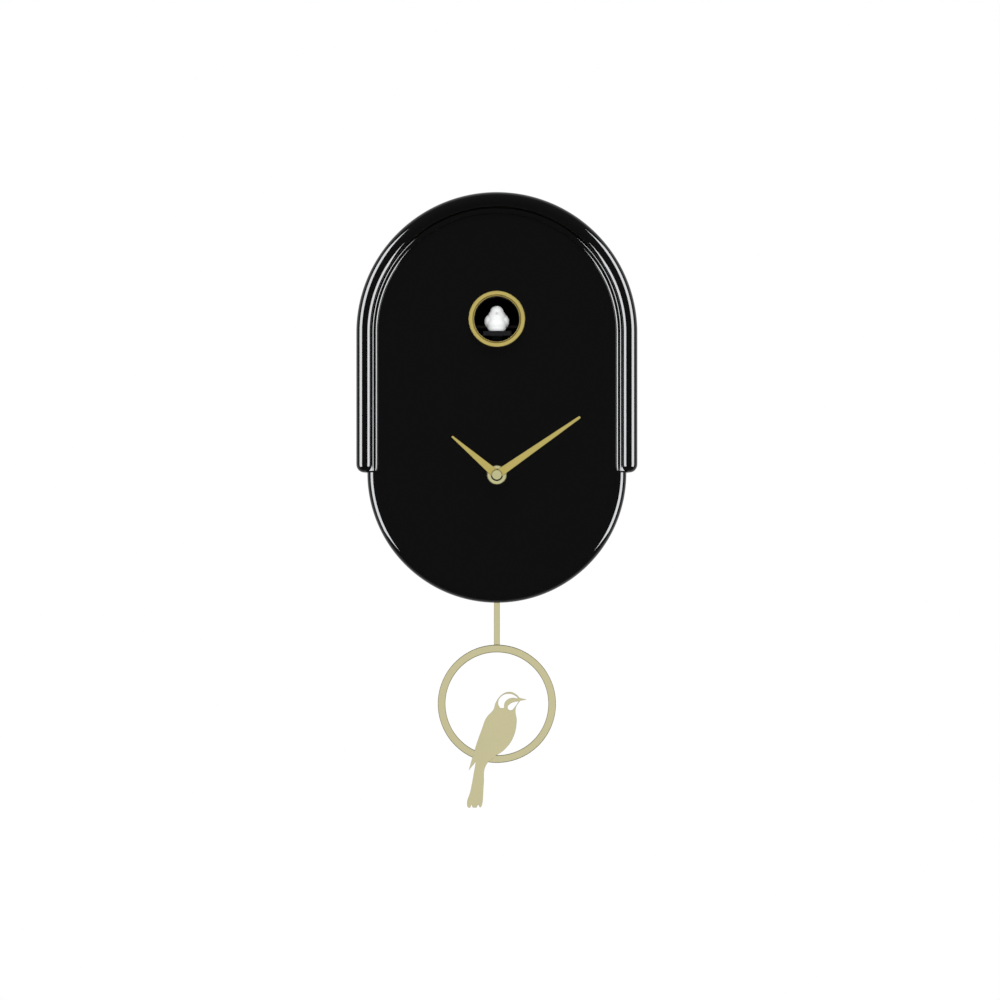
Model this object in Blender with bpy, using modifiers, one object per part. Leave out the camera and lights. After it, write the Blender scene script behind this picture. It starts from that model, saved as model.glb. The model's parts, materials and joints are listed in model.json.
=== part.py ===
"""Pendulum wall clock with a cuckoo.

A lacquered case hangs on the wall by a keyhole. A quartz movement turns two brass hands, a
separate coil keeps the pendulum swinging, and a motor slides a white bird out of a ring-shaped
window. The origin is on the wall, straight behind the hand shaft; the front faces -Y, +Z is up.
Sizes are in millimetres, and MM turns them into Blender's metres.
"""

import math

import bmesh
import bpy
from mathutils import Matrix

MM = 0.001
NAME = "pendulum_wall_clock"

# Clearances
GAP = 0.3  # between pieces that touch
RUNNING = 0.15  # round a shaft that turns
HAND_GAP = 0.4  # between the hands

# Case
CASE_DEPTH = 72.0
CASE_HALF_WIDTH = 94.6
UPPER_ARC_Z = 103.8
LOWER_ARC_Z = 1.2
CASE_WALL = 2.5
CASE_EDGE_RADIUS = 6.0
CASE_ARC_STEPS = 18
BOSS_RADIUS = 4.5
SCREW_ZS = (10.0, 95.0)

# Hood: a moulded band round the case, with a fat bead in front and a small bead inside it
HOOD_END_Z = 1.8
HOOD_BACK_WALL = 7.6
BEAD_WIDTH = 12.2
BEAD_PROUD = 4.0
SMALL_BEAD_RADIUS = 2.7
SMALL_BEAD_IN = 1.2  # its centre, in from the fat bead's edge
HOOD_WALL = 2.4
HOOD_POCKET_DEPTH = 60.0
BEAD_STEPS = 8

# Window
WINDOW_Z = 113.6
RING_OUTER = 20.6
RING_INNER = 16.6
RING_PROUD = 3.0
TUNNEL_OUTER = 17.6
TUNNEL_WALL = 1.4
TUNNEL_DEPTH = 17.0
TUNNEL_FLANGE = 21.0

# Back cover and its doors
COVER = 3.0
DOOR = 2.6
DOOR_CORNER = 3.0
DOOR_NOTCH = 5.0
MOVEMENT_DOOR = (-34.0, 34.0, -54.0, -10.0)  # low and high x, low and high z
BATTERY_DOOR_INSET = 2.0  # from the box's outside
KEYHOLE_Z = 172.0
KEYHOLE_RADIUS = 4.5
KEYHOLE_SLOT = 2.2
KEYHOLE_RISE = 10.0
SCREW_RADIUS = 1.3
SCREW_HEAD = 3.0
SCREW_LENGTH = 12.0

# Movement: outline and layers, counted back from its front face
MOVEMENT = (-28.0, 28.0, -50.0, 30.0)
MOVEMENT_SPLIT = 9.5
MOVEMENT_WALL = 1.2
MOVEMENT_SETBACK = 1.5  # behind the inside of the dial, where the washer sits
TUBE_OUTER = 4.0
TUBE_INNER = 2.75
TUBE_LENGTH = 8.0
SLEEVE_OUTER = 2.4
SLEEVE_INNER = 1.75
SHAFT = 1.6
SHAFT_END = 0.9
NUT_OUTER = 7.2
NUT_THICK = 2.3
CAP_RADIUS = 3.8
CAP_LENGTH = 2.5
WASHER_OUTER = 10.0
WASHER_THICK = 0.9

# Gears: module in millimetres, teeth, and the direction of each centre from the one before
TRAIN_MODULE = 1 / 3
ROTOR_MODULE = 0.25
MOTION_MODULE = 0.48
CENTRE_TEETH = 48
THIRD_TEETH, THIRD_PINION = 45, 6
SECONDS_TEETH, SECONDS_PINION = 30, 6
MIDDLE_TEETH, MIDDLE_PINION = 36, 6
ROTOR_PINION = 6
CANNON_TEETH = 10
REDUCTION_TEETH, REDUCTION_PINION = 30, 8
HOUR_TEETH = 32
KNOB_PINION = 8
TOOTH_TIP, TOOTH_ROOT = 0.22, 0.56  # share of the pitch that a tooth takes there
ADDENDUM, DEDENDUM = 0.8, 1.2  # in modules
ARBOR = 0.5

# AA cell
CELL_RADIUS = 7.1
CELL_LENGTH = 49.3
CELL_NUB_RADIUS = 2.6
CELL_NUB = 1.0
CELL_ROOM = 0.4  # between the clock's cell and its bay

# Hands
MINUTE_LENGTH, MINUTE_TIP, MINUTE_ANGLE = 73.8, 2.1, 34.8  # angles from +X towards +Z
HOUR_LENGTH, HOUR_TIP, HOUR_ANGLE = 43.1, 1.7, 139.3
HAND_BOSS = 3.6
HAND_THICK = 0.6

# Pendulum
PIVOT_Z = -60.0
PIVOT_RADIUS = 1.0
PENDULUM_Y = -45.0
ROD_WIDTH, ROD_THICK = 4.3, 1.2
RING_CENTRE_Z = -168.4
PENDULUM_RING_OUTER, PENDULUM_RING_INNER = 43.5, 37.9
PENDULUM_RING_THICK, BIRD_THICK = 2.0, 1.6
ARM_THICK = 2.6
ARM_END_Z = -86.0
MAGNET_Z = -76.0
MAGNET_RADIUS, MAGNET_LENGTH = 3.2, 3.0
BRACKET_HALF_WIDTH, BRACKET_PLATE = 14.0, 2.0
BRACKET_TOP_Z, BRACKET_LOW_Z = -52.5, -86.0
BRACKET_REACH = 12.0  # from the pendulum's plane to each bracket plate
SLOT_HALF_WIDTH, SLOT_HALF_DEPTH = 8.0, 3.5

# Cuckoo: side view positions count back from the inside of the dial
BIRD_TRAVEL = 28.0
BIRD_LAYER = 9.5
BIRD_RADIUS = 9.3
PLATFORM_Z, PLATFORM_THICK, PLATFORM_HALF_WIDTH = 105.0, 3.2, 10.0
RIB_HALF_WIDTH = 4.0
RACK_MODULE, RACK_PINION = 1.0, 12
RACK_ROOT_Z = 101.3
DRIVE_MODULE, DRIVE_TEETH, MOTOR_PINION = 0.8, 30, 8
AXLE_LAYER = 27.5
AXLE_RADIUS = 1.5
CHEEK_X, CHEEK = 22.2, 2.0
CHEEK_LOW_Z, CHEEK_TOP_Z = 84.0, 108.0
MOTOR_RADIUS = 8.0
MOTOR_X = (-21.9, -7.0)
DRIVE_GEAR_X = (8.0, 11.0)

# Sound
SPEAKER = (-58.5, 2.0)
SPEAKER_RADIUS = 25.0
BOARD = (-82.0, -38.0, 44.0, 84.0)
BOARD_STANDOFF = 5.4
BOARD_THICK = 1.6
SLIDER = (-60.0, 62.0)
SLIDER_TRAVEL = 4.0
BATTERIES = (54.0, 16.0)  # x, z midway between the two cells
BATTERY_ROOM = (2.35, 0.7)  # past a cell's ends, and to each side of the midline
BATTERY_WALL = 1.0

# Worked out from the sizes above
DIAL_Y = -CASE_DEPTH
INSIDE_Y = DIAL_Y + CASE_WALL
CLOCK_CELL_Z = MOVEMENT[2] + MOVEMENT_WALL + CELL_RADIUS + CELL_ROOM
CLOCK_CELL_LAYER = MOVEMENT_WALL + CELL_RADIUS + 1.1
MOVEMENT_DEPTH = CLOCK_CELL_LAYER + CELL_RADIUS + 2.0
BAY_WALL_Z = CLOCK_CELL_Z + CELL_RADIUS + 2 * CELL_ROOM
BATTERY_HALF_X = CELL_LENGTH / 2 + BATTERY_ROOM[0]
BATTERY_HALF_Z = 2 * (CELL_RADIUS + BATTERY_ROOM[1]) + CELL_ROOM
BATTERY_BOX_DEPTH = 2 * CELL_RADIUS + 2.8
BATTERY_ZS = [BATTERIES[1] + side * (CELL_RADIUS + BATTERY_ROOM[1]) for side in (-1, 1)]
BATTERY_BOX = (
    BATTERIES[0] - BATTERY_HALF_X,
    BATTERIES[0] + BATTERY_HALF_X,
    BATTERIES[1] - BATTERY_HALF_Z,
    BATTERIES[1] + BATTERY_HALF_Z,
)
CARRIAGE_END = AXLE_LAYER + BIRD_TRAVEL + 3.5
FRAME_END = CARRIAGE_END + 1.5
INNER_HALF_WIDTH = CASE_HALF_WIDTH - CASE_WALL
HOOD_INNER = CASE_HALF_WIDTH + GAP
HOOD_OUTER = HOOD_INNER + HOOD_BACK_WALL
MOVEMENT_Y = INSIDE_Y + MOVEMENT_SETBACK
SCREW_X = INNER_HALF_WIDTH - BOSS_RADIUS + 0.5
HOUR_MODULE = MOTION_MODULE * (CANNON_TEETH + REDUCTION_TEETH) / (HOUR_TEETH + REDUCTION_PINION)
HOUR_HAND_Y = MOVEMENT_Y - TUBE_LENGTH - HAND_GAP
MINUTE_HAND_Y = HOUR_HAND_Y - HAND_THICK - 3 * HAND_GAP

FINISHES = {
    "black_lacquer": ((0.007, 0.007, 0.008), 0.0, 0.08),
    "black_plastic": ((0.012, 0.012, 0.013), 0.0, 0.45),
    "grey_plastic": ((0.42, 0.42, 0.40), 0.0, 0.50),
    "white_plastic": ((0.88, 0.88, 0.86), 0.0, 0.40),
    "gear_plastic": ((0.80, 0.78, 0.70), 0.0, 0.45),
    "polished_brass": ((0.56, 0.51, 0.30), 1.0, 0.16),
    "satin_brass": ((0.52, 0.40, 0.14), 1.0, 0.32),
    "steel": ((0.55, 0.55, 0.56), 1.0, 0.30),
    "copper": ((0.60, 0.27, 0.13), 1.0, 0.35),
    "board_green": ((0.03, 0.16, 0.06), 0.0, 0.50),
    "rubber": ((0.02, 0.02, 0.02), 0.0, 0.85),
    "paper": ((0.05, 0.05, 0.05), 0.0, 0.90),
    "magnet": ((0.08, 0.08, 0.09), 0.2, 0.55),
    "cell_wrap": ((0.05, 0.10, 0.30), 0.1, 0.35),
}

PARTS = bpy.data.collections.new(NAME)
HELPERS = bpy.data.collections.new("cutters_and_guides")


# Outlines: lists of (u, v) points in millimetres


def arc(u, v, radius, start, end, steps):
    """Points along an arc, from start to end in degrees."""
    turns = [math.radians(start + (end - start) * i / steps) for i in range(steps + 1)]
    return [(u + radius * math.cos(turn), v + radius * math.sin(turn)) for turn in turns]


def circle(u, v, radius, sides=20):
    return arc(u, v, radius, 0, 360 - 360 / sides, sides - 1)


def rectangle(low_u, high_u, low_v, high_v, radius=0.0, steps=3):
    """A rectangle, with round corners where radius is given."""
    if not radius:
        return [(high_u, high_v), (low_u, high_v), (low_u, low_v), (high_u, low_v)]
    centres = (
        (high_u - radius, high_v - radius, 0),
        (low_u + radius, high_v - radius, 90),
        (low_u + radius, low_v + radius, 180),
        (high_u - radius, low_v + radius, 270),
    )
    return [point for u, v, turn in centres for point in arc(u, v, radius, turn, turn + 90, steps)]


def stadium(half_width, steps=CASE_ARC_STEPS):
    upper = arc(0, UPPER_ARC_Z, half_width, 0, 180, steps)
    return upper + arc(0, LOWER_ARC_Z, half_width, 180, 360, steps)


def shrunk(sides, by):
    low_u, high_u, low_v, high_v = sides
    return (low_u + by, high_u - by, low_v + by, high_v - by)


def toothed(teeth, module, centre=(0.0, 0.0), phase=0.0):
    """A gear's outline. One tooth points along phase, in radians."""
    root = module * (teeth / 2 - DEDENDUM)
    tip = module * (teeth / 2 + ADDENDUM)
    step = math.tau / teeth
    corners = ((root, -TOOTH_ROOT / 2), (tip, -TOOTH_TIP / 2), (tip, TOOTH_TIP / 2), (root, TOOTH_ROOT / 2))
    points = []
    for tooth in range(teeth):
        for radius, share in corners:
            turn = phase + (tooth + share) * step
            points.append((centre[0] + radius * math.cos(turn), centre[1] + radius * math.sin(turn)))
    return points


def mating_phase(teeth, phase, direction, mate_teeth):
    """The phase that puts a gap of the mate opposite a tooth, the mate lying along direction."""
    into_tooth = ((direction - phase) / (math.tau / teeth)) % 1.0
    return direction + math.pi - (0.5 - into_tooth) * math.tau / mate_teeth


def away(centre, distance, degrees):
    turn = math.radians(degrees)
    return (centre[0] + distance * math.cos(turn), centre[1] + distance * math.sin(turn))


# Solids: each returns a hidden helper object until part() names it


def hidden(obj):
    HELPERS.objects.link(obj)
    obj.hide_render = True
    obj.display_type = "WIRE"
    return obj


def settled(obj):
    """The object with its modifiers or curve made into one clean mesh."""
    bpy.context.view_layer.update()
    graph = bpy.context.evaluated_depsgraph_get()
    mesh = bpy.data.meshes.new_from_object(obj.evaluated_get(graph))
    shape = bmesh.new()
    shape.from_mesh(mesh)
    bmesh.ops.remove_doubles(shape, verts=shape.verts, dist=1e-6)
    bmesh.ops.recalc_face_normals(shape, faces=shape.faces)
    shape.to_mesh(mesh)
    shape.free()
    mesh.shade_smooth()
    mesh.set_sharp_from_angle(angle=math.radians(35))
    made = bpy.data.objects.new("solid", mesh)
    made.matrix_world = obj.matrix_world.copy()
    bpy.data.objects.remove(obj, do_unlink=True)
    return hidden(made)


FACING = {
    "front": (lambda u, v, h: Matrix(((1, 0, 0, u), (0, 0, -1, h), (0, 1, 0, v), (0, 0, 0, 1)))),
    "side": (lambda u, v, h: Matrix(((0, 0, 1, h), (1, 0, 0, u), (0, 1, 0, v), (0, 0, 0, 1)))),
    "top": (lambda u, v, h: Matrix(((1, 0, 0, u), (0, 1, 0, v), (0, 0, 1, h), (0, 0, 0, 1)))),
}


def placed(obj, facing, u, v, h):
    """Turns local z to the facing's axis: -Y, X or Z. u and v are x z, y z or x y."""
    obj.matrix_world = FACING[facing](u * MM, v * MM, h * MM)
    return obj


def plate(outlines, low, high, facing="front"):
    """A flat piece: the first outline less the others, from low to high along the facing's axis."""
    curve = bpy.data.curves.new("outline", "CURVE")
    curve.dimensions = "2D"
    curve.fill_mode = "BOTH"
    curve.extrude = (high - low) / 2 * MM
    for outline in outlines:
        spline = curve.splines.new("POLY")
        spline.points.add(len(outline) - 1)
        for point, (u, v) in zip(spline.points, outline):
            point.co = (u * MM, v * MM, 0, 1)
        spline.use_cyclic_u = True
    obj = placed(bpy.data.objects.new("outline", curve), facing, 0, 0, (low + high) / 2)
    return settled(hidden(obj))


def smooth_plate(outlines, low, high, resolution=3):
    """A flat front-facing piece with curved outlines. A point marked True is a sharp corner."""
    curve = bpy.data.curves.new("outline", "CURVE")
    curve.dimensions = "2D"
    curve.fill_mode = "BOTH"
    curve.resolution_u = resolution
    curve.extrude = (high - low) / 2 * MM
    for outline in outlines:
        spline = curve.splines.new("BEZIER")
        spline.bezier_points.add(len(outline) - 1)
        for point, (u, v, sharp) in zip(spline.bezier_points, outline):
            point.co = (u * MM, v * MM, 0)
            point.handle_left_type = "VECTOR" if sharp else "AUTO"
            point.handle_right_type = "VECTOR" if sharp else "AUTO"
        spline.use_cyclic_u = True
    obj = placed(bpy.data.objects.new("outline", curve), "front", 0, 0, (low + high) / 2)
    return settled(hidden(obj))


def turned(profile, facing, at, sides=24, closed=True):
    """A turned piece: (radius, height) points, heights along the facing's axis in world terms."""
    sign = -1 if facing == "front" else 1
    mesh = bpy.data.meshes.new("profile")
    corners = [(radius * MM, 0, sign * height * MM) for radius, height in profile]
    edges = [(i, i + 1) for i in range(len(profile) - 1)]
    if closed:
        edges.append((len(profile) - 1, 0))
    mesh.from_pydata(corners, edges, [])
    obj = placed(bpy.data.objects.new("profile", mesh), facing, at[0], at[1], 0)
    screw = obj.modifiers.new("turn", "SCREW")
    screw.axis = "Z"
    screw.steps = sides
    screw.render_steps = sides
    screw.use_merge_vertices = True
    screw.merge_threshold = 0.00001
    return settled(hidden(obj))


def tube(inner, outer, low, high, facing, at, sides=24):
    profile = [(outer, high), (outer, low), (inner, low), (inner, high)]
    return turned(profile, facing, at, sides)


def rod(radius, low, high, facing, at, sides=12):
    shape = bmesh.new()
    bmesh.ops.create_cone(
        shape,
        cap_ends=True,
        segments=sides,
        radius1=radius * MM,
        radius2=radius * MM,
        depth=(high - low) * MM,
    )
    return from_shape(shape, facing, at, (low + high) / 2)


def from_shape(shape, facing="top", at=(0.0, 0.0), height=0.0):
    mesh = bpy.data.meshes.new("solid")
    shape.to_mesh(mesh)
    shape.free()
    mesh.shade_smooth()
    mesh.set_sharp_from_angle(angle=math.radians(35))
    return hidden(placed(bpy.data.objects.new("solid", mesh), facing, at[0], at[1], height))


def block(low_x, high_x, low_y, high_y, low_z, high_z):
    shape = bmesh.new()
    bmesh.ops.create_cube(shape, size=MM)
    size = (high_x - low_x, high_y - low_y, high_z - low_z)
    bmesh.ops.scale(shape, vec=size, verts=shape.verts)
    middle = ((low_x + high_x) / 2 * MM, (low_y + high_y) / 2 * MM, (low_z + high_z) / 2 * MM)
    bmesh.ops.translate(shape, vec=middle, verts=shape.verts)
    return from_shape(shape)


def combined(obj, tools, operation):
    for tool in tools:
        modifier = obj.modifiers.new(operation.lower(), "BOOLEAN")
        modifier.operation = operation
        modifier.object = tool
    return obj


def join(obj, *tools):
    return combined(obj, tools, "UNION")


def cut(obj, *tools):
    return combined(obj, tools, "DIFFERENCE")


def tray(outline, inner_outline, open_y, floor_y, floor_thick):
    """A box with its floor at floor_y and its mouth at open_y, either way along Y."""
    low, high = sorted((open_y, floor_y))
    shell = plate([outline], low, high)
    if open_y > floor_y:
        hollow = plate([inner_outline], floor_y + floor_thick, open_y + 1)
    else:
        hollow = plate([inner_outline], open_y - 1, floor_y - floor_thick)
    return cut(shell, hollow)


# Naming, finish and joints


def painted(obj, finish):
    colour, metallic, roughness = FINISHES[finish]
    material = bpy.data.materials.new(f"{obj.name}_{finish}")
    material.use_nodes = True
    shader = material.node_tree.nodes["Principled BSDF"]
    shader.inputs["Base Color"].default_value = (*colour, 1.0)
    shader.inputs["Metallic"].default_value = metallic
    shader.inputs["Roughness"].default_value = roughness
    obj.data.materials.clear()
    obj.data.materials.append(material)


def part(name, finish, obj, axis=None):
    """Makes the helper a named piece, riding on the empty at its joint's axis if it moves."""
    obj.name = name
    obj.data.name = name
    HELPERS.objects.unlink(obj)
    PARTS.objects.link(obj)
    obj.hide_render = False
    obj.display_type = "TEXTURED"
    painted(obj, finish)
    if axis:
        bpy.context.view_layer.update()
        obj.parent = axis
        obj.matrix_parent_inverse = axis.matrix_world.inverted()
    return obj


def joint_axis(name, x, y, z):
    empty = bpy.data.objects.new(f"{name}_axis", None)
    empty.location = (x * MM, y * MM, z * MM)
    empty.empty_display_size = 5 * MM
    PARTS.objects.link(empty)
    bpy.context.view_layer.update()
    return empty


# Case


def make_front_shell():
    """An open stadium-shaped tub with a round front edge, given its wall by Solidify."""
    shape = bmesh.new()
    points = [shape.verts.new((x * MM, DIAL_Y * MM, z * MM)) for x, z in stadium(CASE_HALF_WIDTH)]
    face = shape.faces.new(points)
    grown = bmesh.ops.extrude_face_region(shape, geom=[face])
    back = [item for item in grown["geom"] if isinstance(item, bmesh.types.BMVert)]
    bmesh.ops.translate(shape, vec=(0, CASE_DEPTH * MM, 0), verts=back)
    mouth = [item for item in shape.faces if all(abs(v.co.y) < 1e-6 for v in item.verts)]
    bmesh.ops.delete(shape, geom=mouth, context="FACES_ONLY")
    rim = [edge for edge in shape.edges if all(abs(v.co.y - DIAL_Y * MM) < 1e-6 for v in edge.verts)]
    bmesh.ops.bevel(
        shape, geom=rim, offset=CASE_EDGE_RADIUS * MM, segments=3, profile=0.5, affect="EDGES"
    )
    bmesh.ops.recalc_face_normals(shape, faces=shape.faces)
    if sum(face.normal.y * face.calc_area() for face in shape.faces) > 0:
        bmesh.ops.reverse_faces(shape, faces=shape.faces)
    shell = from_shape(shape)
    wall = shell.modifiers.new("wall", "SOLIDIFY")
    wall.thickness = CASE_WALL * MM
    wall.offset = -1
    wall.use_even_offset = True
    shell = settled(shell)
    for x in (-SCREW_X, SCREW_X):
        for z in SCREW_ZS:
            join(shell, rod(BOSS_RADIUS, INSIDE_Y - 1, -COVER - GAP, "front", (x, z), 16))
            pilot_y = -COVER - GAP - SCREW_LENGTH
            cut(shell, rod(SCREW_RADIUS + RUNNING, pilot_y, 1, "front", (x, z), 10))
    cut(shell, rod(TUNNEL_OUTER + GAP, DIAL_Y - 1, INSIDE_Y + 1, "front", (0, WINDOW_Z), 32))
    cut(shell, rod(TUBE_OUTER + GAP, DIAL_Y - 1, INSIDE_Y + 1, "front", (0, 0), 20))
    low_z = LOWER_ARC_Z - CASE_HALF_WIDTH
    slot_y = PENDULUM_Y + PENDULUM_RING_THICK
    cut(
        shell,
        block(
            -SLOT_HALF_WIDTH,
            SLOT_HALF_WIDTH,
            slot_y - SLOT_HALF_DEPTH,
            slot_y + SLOT_HALF_DEPTH,
            low_z - 1,
            low_z + CASE_WALL + 2,
        ),
    )
    part("front_shell", "black_lacquer", shell)


def hood_section():
    """Half section of the hood as (radius, y): back edge, outside, fat bead, small bead, underside."""
    bead = BEAD_WIDTH / 2
    bead_centre = HOOD_OUTER - bead
    bead_y = DIAL_Y - BEAD_PROUD + bead
    small_centre = HOOD_OUTER - BEAD_WIDTH - SMALL_BEAD_IN
    small_y = DIAL_Y + 1.0
    foot = math.degrees(math.asin((small_y - DIAL_Y + GAP) / SMALL_BEAD_RADIUS))
    edge = CASE_EDGE_RADIUS + GAP
    edge_centre = CASE_HALF_WIDTH - CASE_EDGE_RADIUS
    edge_y = DIAL_Y + CASE_EDGE_RADIUS
    section = [(HOOD_OUTER, 0.0)]
    section += arc(bead_centre, bead_y, bead, 0, -150, BEAD_STEPS)
    section += arc(small_centre, small_y, SMALL_BEAD_RADIUS, -46, foot - 180, BEAD_STEPS // 2)
    section += arc(edge_centre, edge_y, edge, -90, 0, 5)
    section.append((HOOD_INNER, 0.0))
    return section


def arched(section, end_z, steps=CASE_ARC_STEPS):
    """Sweeps a (radius, y) section up one side, round the upper arc and down the other side."""
    shape = bmesh.new()
    corners = [shape.verts.new((radius * MM, y * MM, end_z * MM)) for radius, y in section]
    leading = [shape.faces.new(corners)]

    def extruded(faces, rise, first=False):
        grown = bmesh.ops.extrude_face_region(shape, geom=faces)["geom"]
        if not first:
            bmesh.ops.delete(shape, geom=faces, context="FACES_ONLY")
        moved = [item for item in grown if isinstance(item, bmesh.types.BMVert)]
        bmesh.ops.translate(shape, vec=(0, 0, rise * MM), verts=moved)
        return [item for item in grown if isinstance(item, bmesh.types.BMFace)], moved

    leading, corners = extruded(leading, UPPER_ARC_Z - end_z, first=True)
    arc_centre = Matrix.Translation((0, 0, -UPPER_ARC_Z * MM))
    turn = Matrix.Rotation(-math.pi / steps, 3, "Y")
    for _ in range(steps):
        leading, corners = extruded(leading, 0.0)
        bmesh.ops.rotate(shape, matrix=turn, verts=corners, space=arc_centre)
    extruded(leading, end_z - UPPER_ARC_Z)
    bmesh.ops.recalc_face_normals(shape, faces=shape.faces)
    return from_shape(shape)


def make_hood():
    hood = arched(hood_section(), HOOD_END_Z)
    pocket = [
        (HOOD_OUTER - HOOD_WALL, 1.0),
        (HOOD_OUTER - HOOD_WALL, -HOOD_POCKET_DEPTH),
        (HOOD_INNER + HOOD_WALL, -HOOD_POCKET_DEPTH),
        (HOOD_INNER + HOOD_WALL, 1.0),
    ]
    cut(hood, arched(pocket, HOOD_END_Z + HOOD_WALL))
    part("hood", "black_lacquer", hood)


def make_window():
    face = DIAL_Y - GAP
    middle = (RING_OUTER + RING_INNER) / 2
    ring = [
        (RING_OUTER, face),
        (RING_OUTER, face - 0.6 * RING_PROUD),
        (middle + 0.8, face - RING_PROUD),
        (middle - 0.4, face - RING_PROUD),
        (RING_INNER, face - 0.7 * RING_PROUD),
        (RING_INNER, face),
    ]
    part("window_ring", "polished_brass", turned(ring, "front", (0, WINDOW_Z), 36))
    inner = TUNNEL_OUTER - TUNNEL_WALL
    flange_y = INSIDE_Y + GAP
    tunnel = [
        (inner, DIAL_Y + GAP),
        (TUNNEL_OUTER, DIAL_Y + GAP),
        (TUNNEL_OUTER, flange_y),
        (TUNNEL_FLANGE, flange_y),
        (TUNNEL_FLANGE, flange_y + TUNNEL_WALL),
        (TUNNEL_OUTER, flange_y + TUNNEL_WALL),
        (TUNNEL_OUTER, DIAL_Y + TUNNEL_DEPTH),
        (inner, DIAL_Y + TUNNEL_DEPTH),
    ]
    part("window_tunnel", "black_plastic", turned(tunnel, "front", (0, WINDOW_Z), 28))


def door_outline(sides, inset=0.0):
    """A round-cornered door with a finger notch in its lower edge."""
    low_x, high_x, low_z, high_z = shrunk(sides, inset)
    middle = (low_x + high_x) / 2
    outline = rectangle(low_x, high_x, low_z, high_z, DOOR_CORNER)
    return outline[:12] + arc(middle, low_z, DOOR_NOTCH, 180, 0, 6) + outline[12:]


def keyhole():
    slot = arc(0, KEYHOLE_Z + KEYHOLE_RISE, KEYHOLE_SLOT, 0, 180, 6)
    start = math.degrees(math.acos(KEYHOLE_SLOT / KEYHOLE_RADIUS))
    return slot + arc(0, KEYHOLE_Z, KEYHOLE_RADIUS, 180 - start, 360 + start, 14)


def grille():
    """Round-ended slots across the speaker."""
    slots = []
    pitch, half = 7.5, 1.2
    for row in range(-2, 3):
        reach = math.sqrt((SPEAKER_RADIUS - 4.5) ** 2 - (row * pitch) ** 2)
        z = SPEAKER[1] + row * pitch
        slots.append(rectangle(SPEAKER[0] - reach, SPEAKER[0] + reach, z - half, z + half, 1.0, 2))
    return slots


def make_back_cover():
    slider_slot = SLIDER_TRAVEL + 3.0
    holes = [
        rectangle(*MOVEMENT_DOOR, DOOR_CORNER),
        rectangle(*shrunk(BATTERY_BOX, BATTERY_DOOR_INSET), DOOR_CORNER),
        keyhole(),
        rectangle(
            SLIDER[0] - slider_slot, SLIDER[0] + slider_slot, SLIDER[1] - 2.2, SLIDER[1] + 2.2, 1.0, 2
        ),
    ]
    for x in (-SCREW_X, SCREW_X):
        holes += [circle(x, z, SCREW_RADIUS + GAP, 12) for z in SCREW_ZS]
    cover = plate([stadium(INNER_HALF_WIDTH - GAP), *holes, *grille()], -COVER, 0)
    for x in (-SCREW_X, SCREW_X):
        for z in SCREW_ZS:
            cut(cover, rod(SCREW_HEAD + GAP, -1.8, 1, "front", (x, z), 16))
    low_x, high_x, low_z, high_z = shrunk(BOARD, 3.0)
    for corner in ((low_x, low_z), (low_x, high_z), (high_x, low_z), (high_x, high_z)):
        join(cover, rod(2.2, -COVER - BOARD_STANDOFF + GAP, -1, "front", corner, 10))
    part("back_cover", "black_plastic", cover)


def make_cover_screws():
    number = 1
    for x in (-SCREW_X, SCREW_X):
        for z in SCREW_ZS:
            screw = [
                (0, -0.3),
                (SCREW_HEAD, -0.3),
                (SCREW_HEAD, -1.5),
                (SCREW_RADIUS, -1.5),
                (SCREW_RADIUS, -COVER - SCREW_LENGTH + 1),
                (0, -COVER - SCREW_LENGTH),
            ]
            head = turned(screw, "front", (x, z), 12, closed=False)
            cut(head, block(x - 2, x + 2, -0.9, 1, z - 0.35, z + 0.35))
            part(f"cover_screw_{number}", "steel", head)
            number += 1


def make_door(name, sides):
    middle_x = (sides[0] + sides[1]) / 2
    middle_z = (sides[2] + sides[3]) / 2
    axis = joint_axis(name, middle_x, 0, middle_z)
    part(name, "black_plastic", plate([door_outline(sides, GAP)], -DOOR, 0), axis)


# Clock movement


def layer(back):
    """World y of a distance behind the movement's front face."""
    return MOVEMENT_Y + back


MOTION_DISTANCE = MOTION_MODULE * (CANNON_TEETH + REDUCTION_TEETH) / 2
CENTRE = (0.0, 0.0)
THIRD = away(CENTRE, TRAIN_MODULE * (CENTRE_TEETH + THIRD_PINION) / 2, 45)
SECONDS = away(THIRD, TRAIN_MODULE * (THIRD_TEETH + SECONDS_PINION) / 2, 135)
MIDDLE = away(SECONDS, TRAIN_MODULE * (SECONDS_TEETH + MIDDLE_PINION) / 2, 150)
ROTOR = away(MIDDLE, ROTOR_MODULE * (MIDDLE_TEETH + ROTOR_PINION) / 2, 180)
REDUCTION = away(CENTRE, MOTION_DISTANCE, -90)
KNOB = away(REDUCTION, MOTION_MODULE * (REDUCTION_TEETH + KNOB_PINION) / 2, -90)
ROTOR_MAGNET = 2.7
TRAIN_PLATE = (-13.5, 13.0, -23.0, 20.0)
TRAIN_BRIDGE = (-13.5, 12.0, -6.0, 20.0)
PILLARS = ((-12.0, -3.5), (10.3, -4.2), (10.0, 18.2))
PLATE_LAYER, BRIDGE_LAYER, TRAIN_PLATE_THICK = 5.1, 13.6, 0.8


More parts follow.
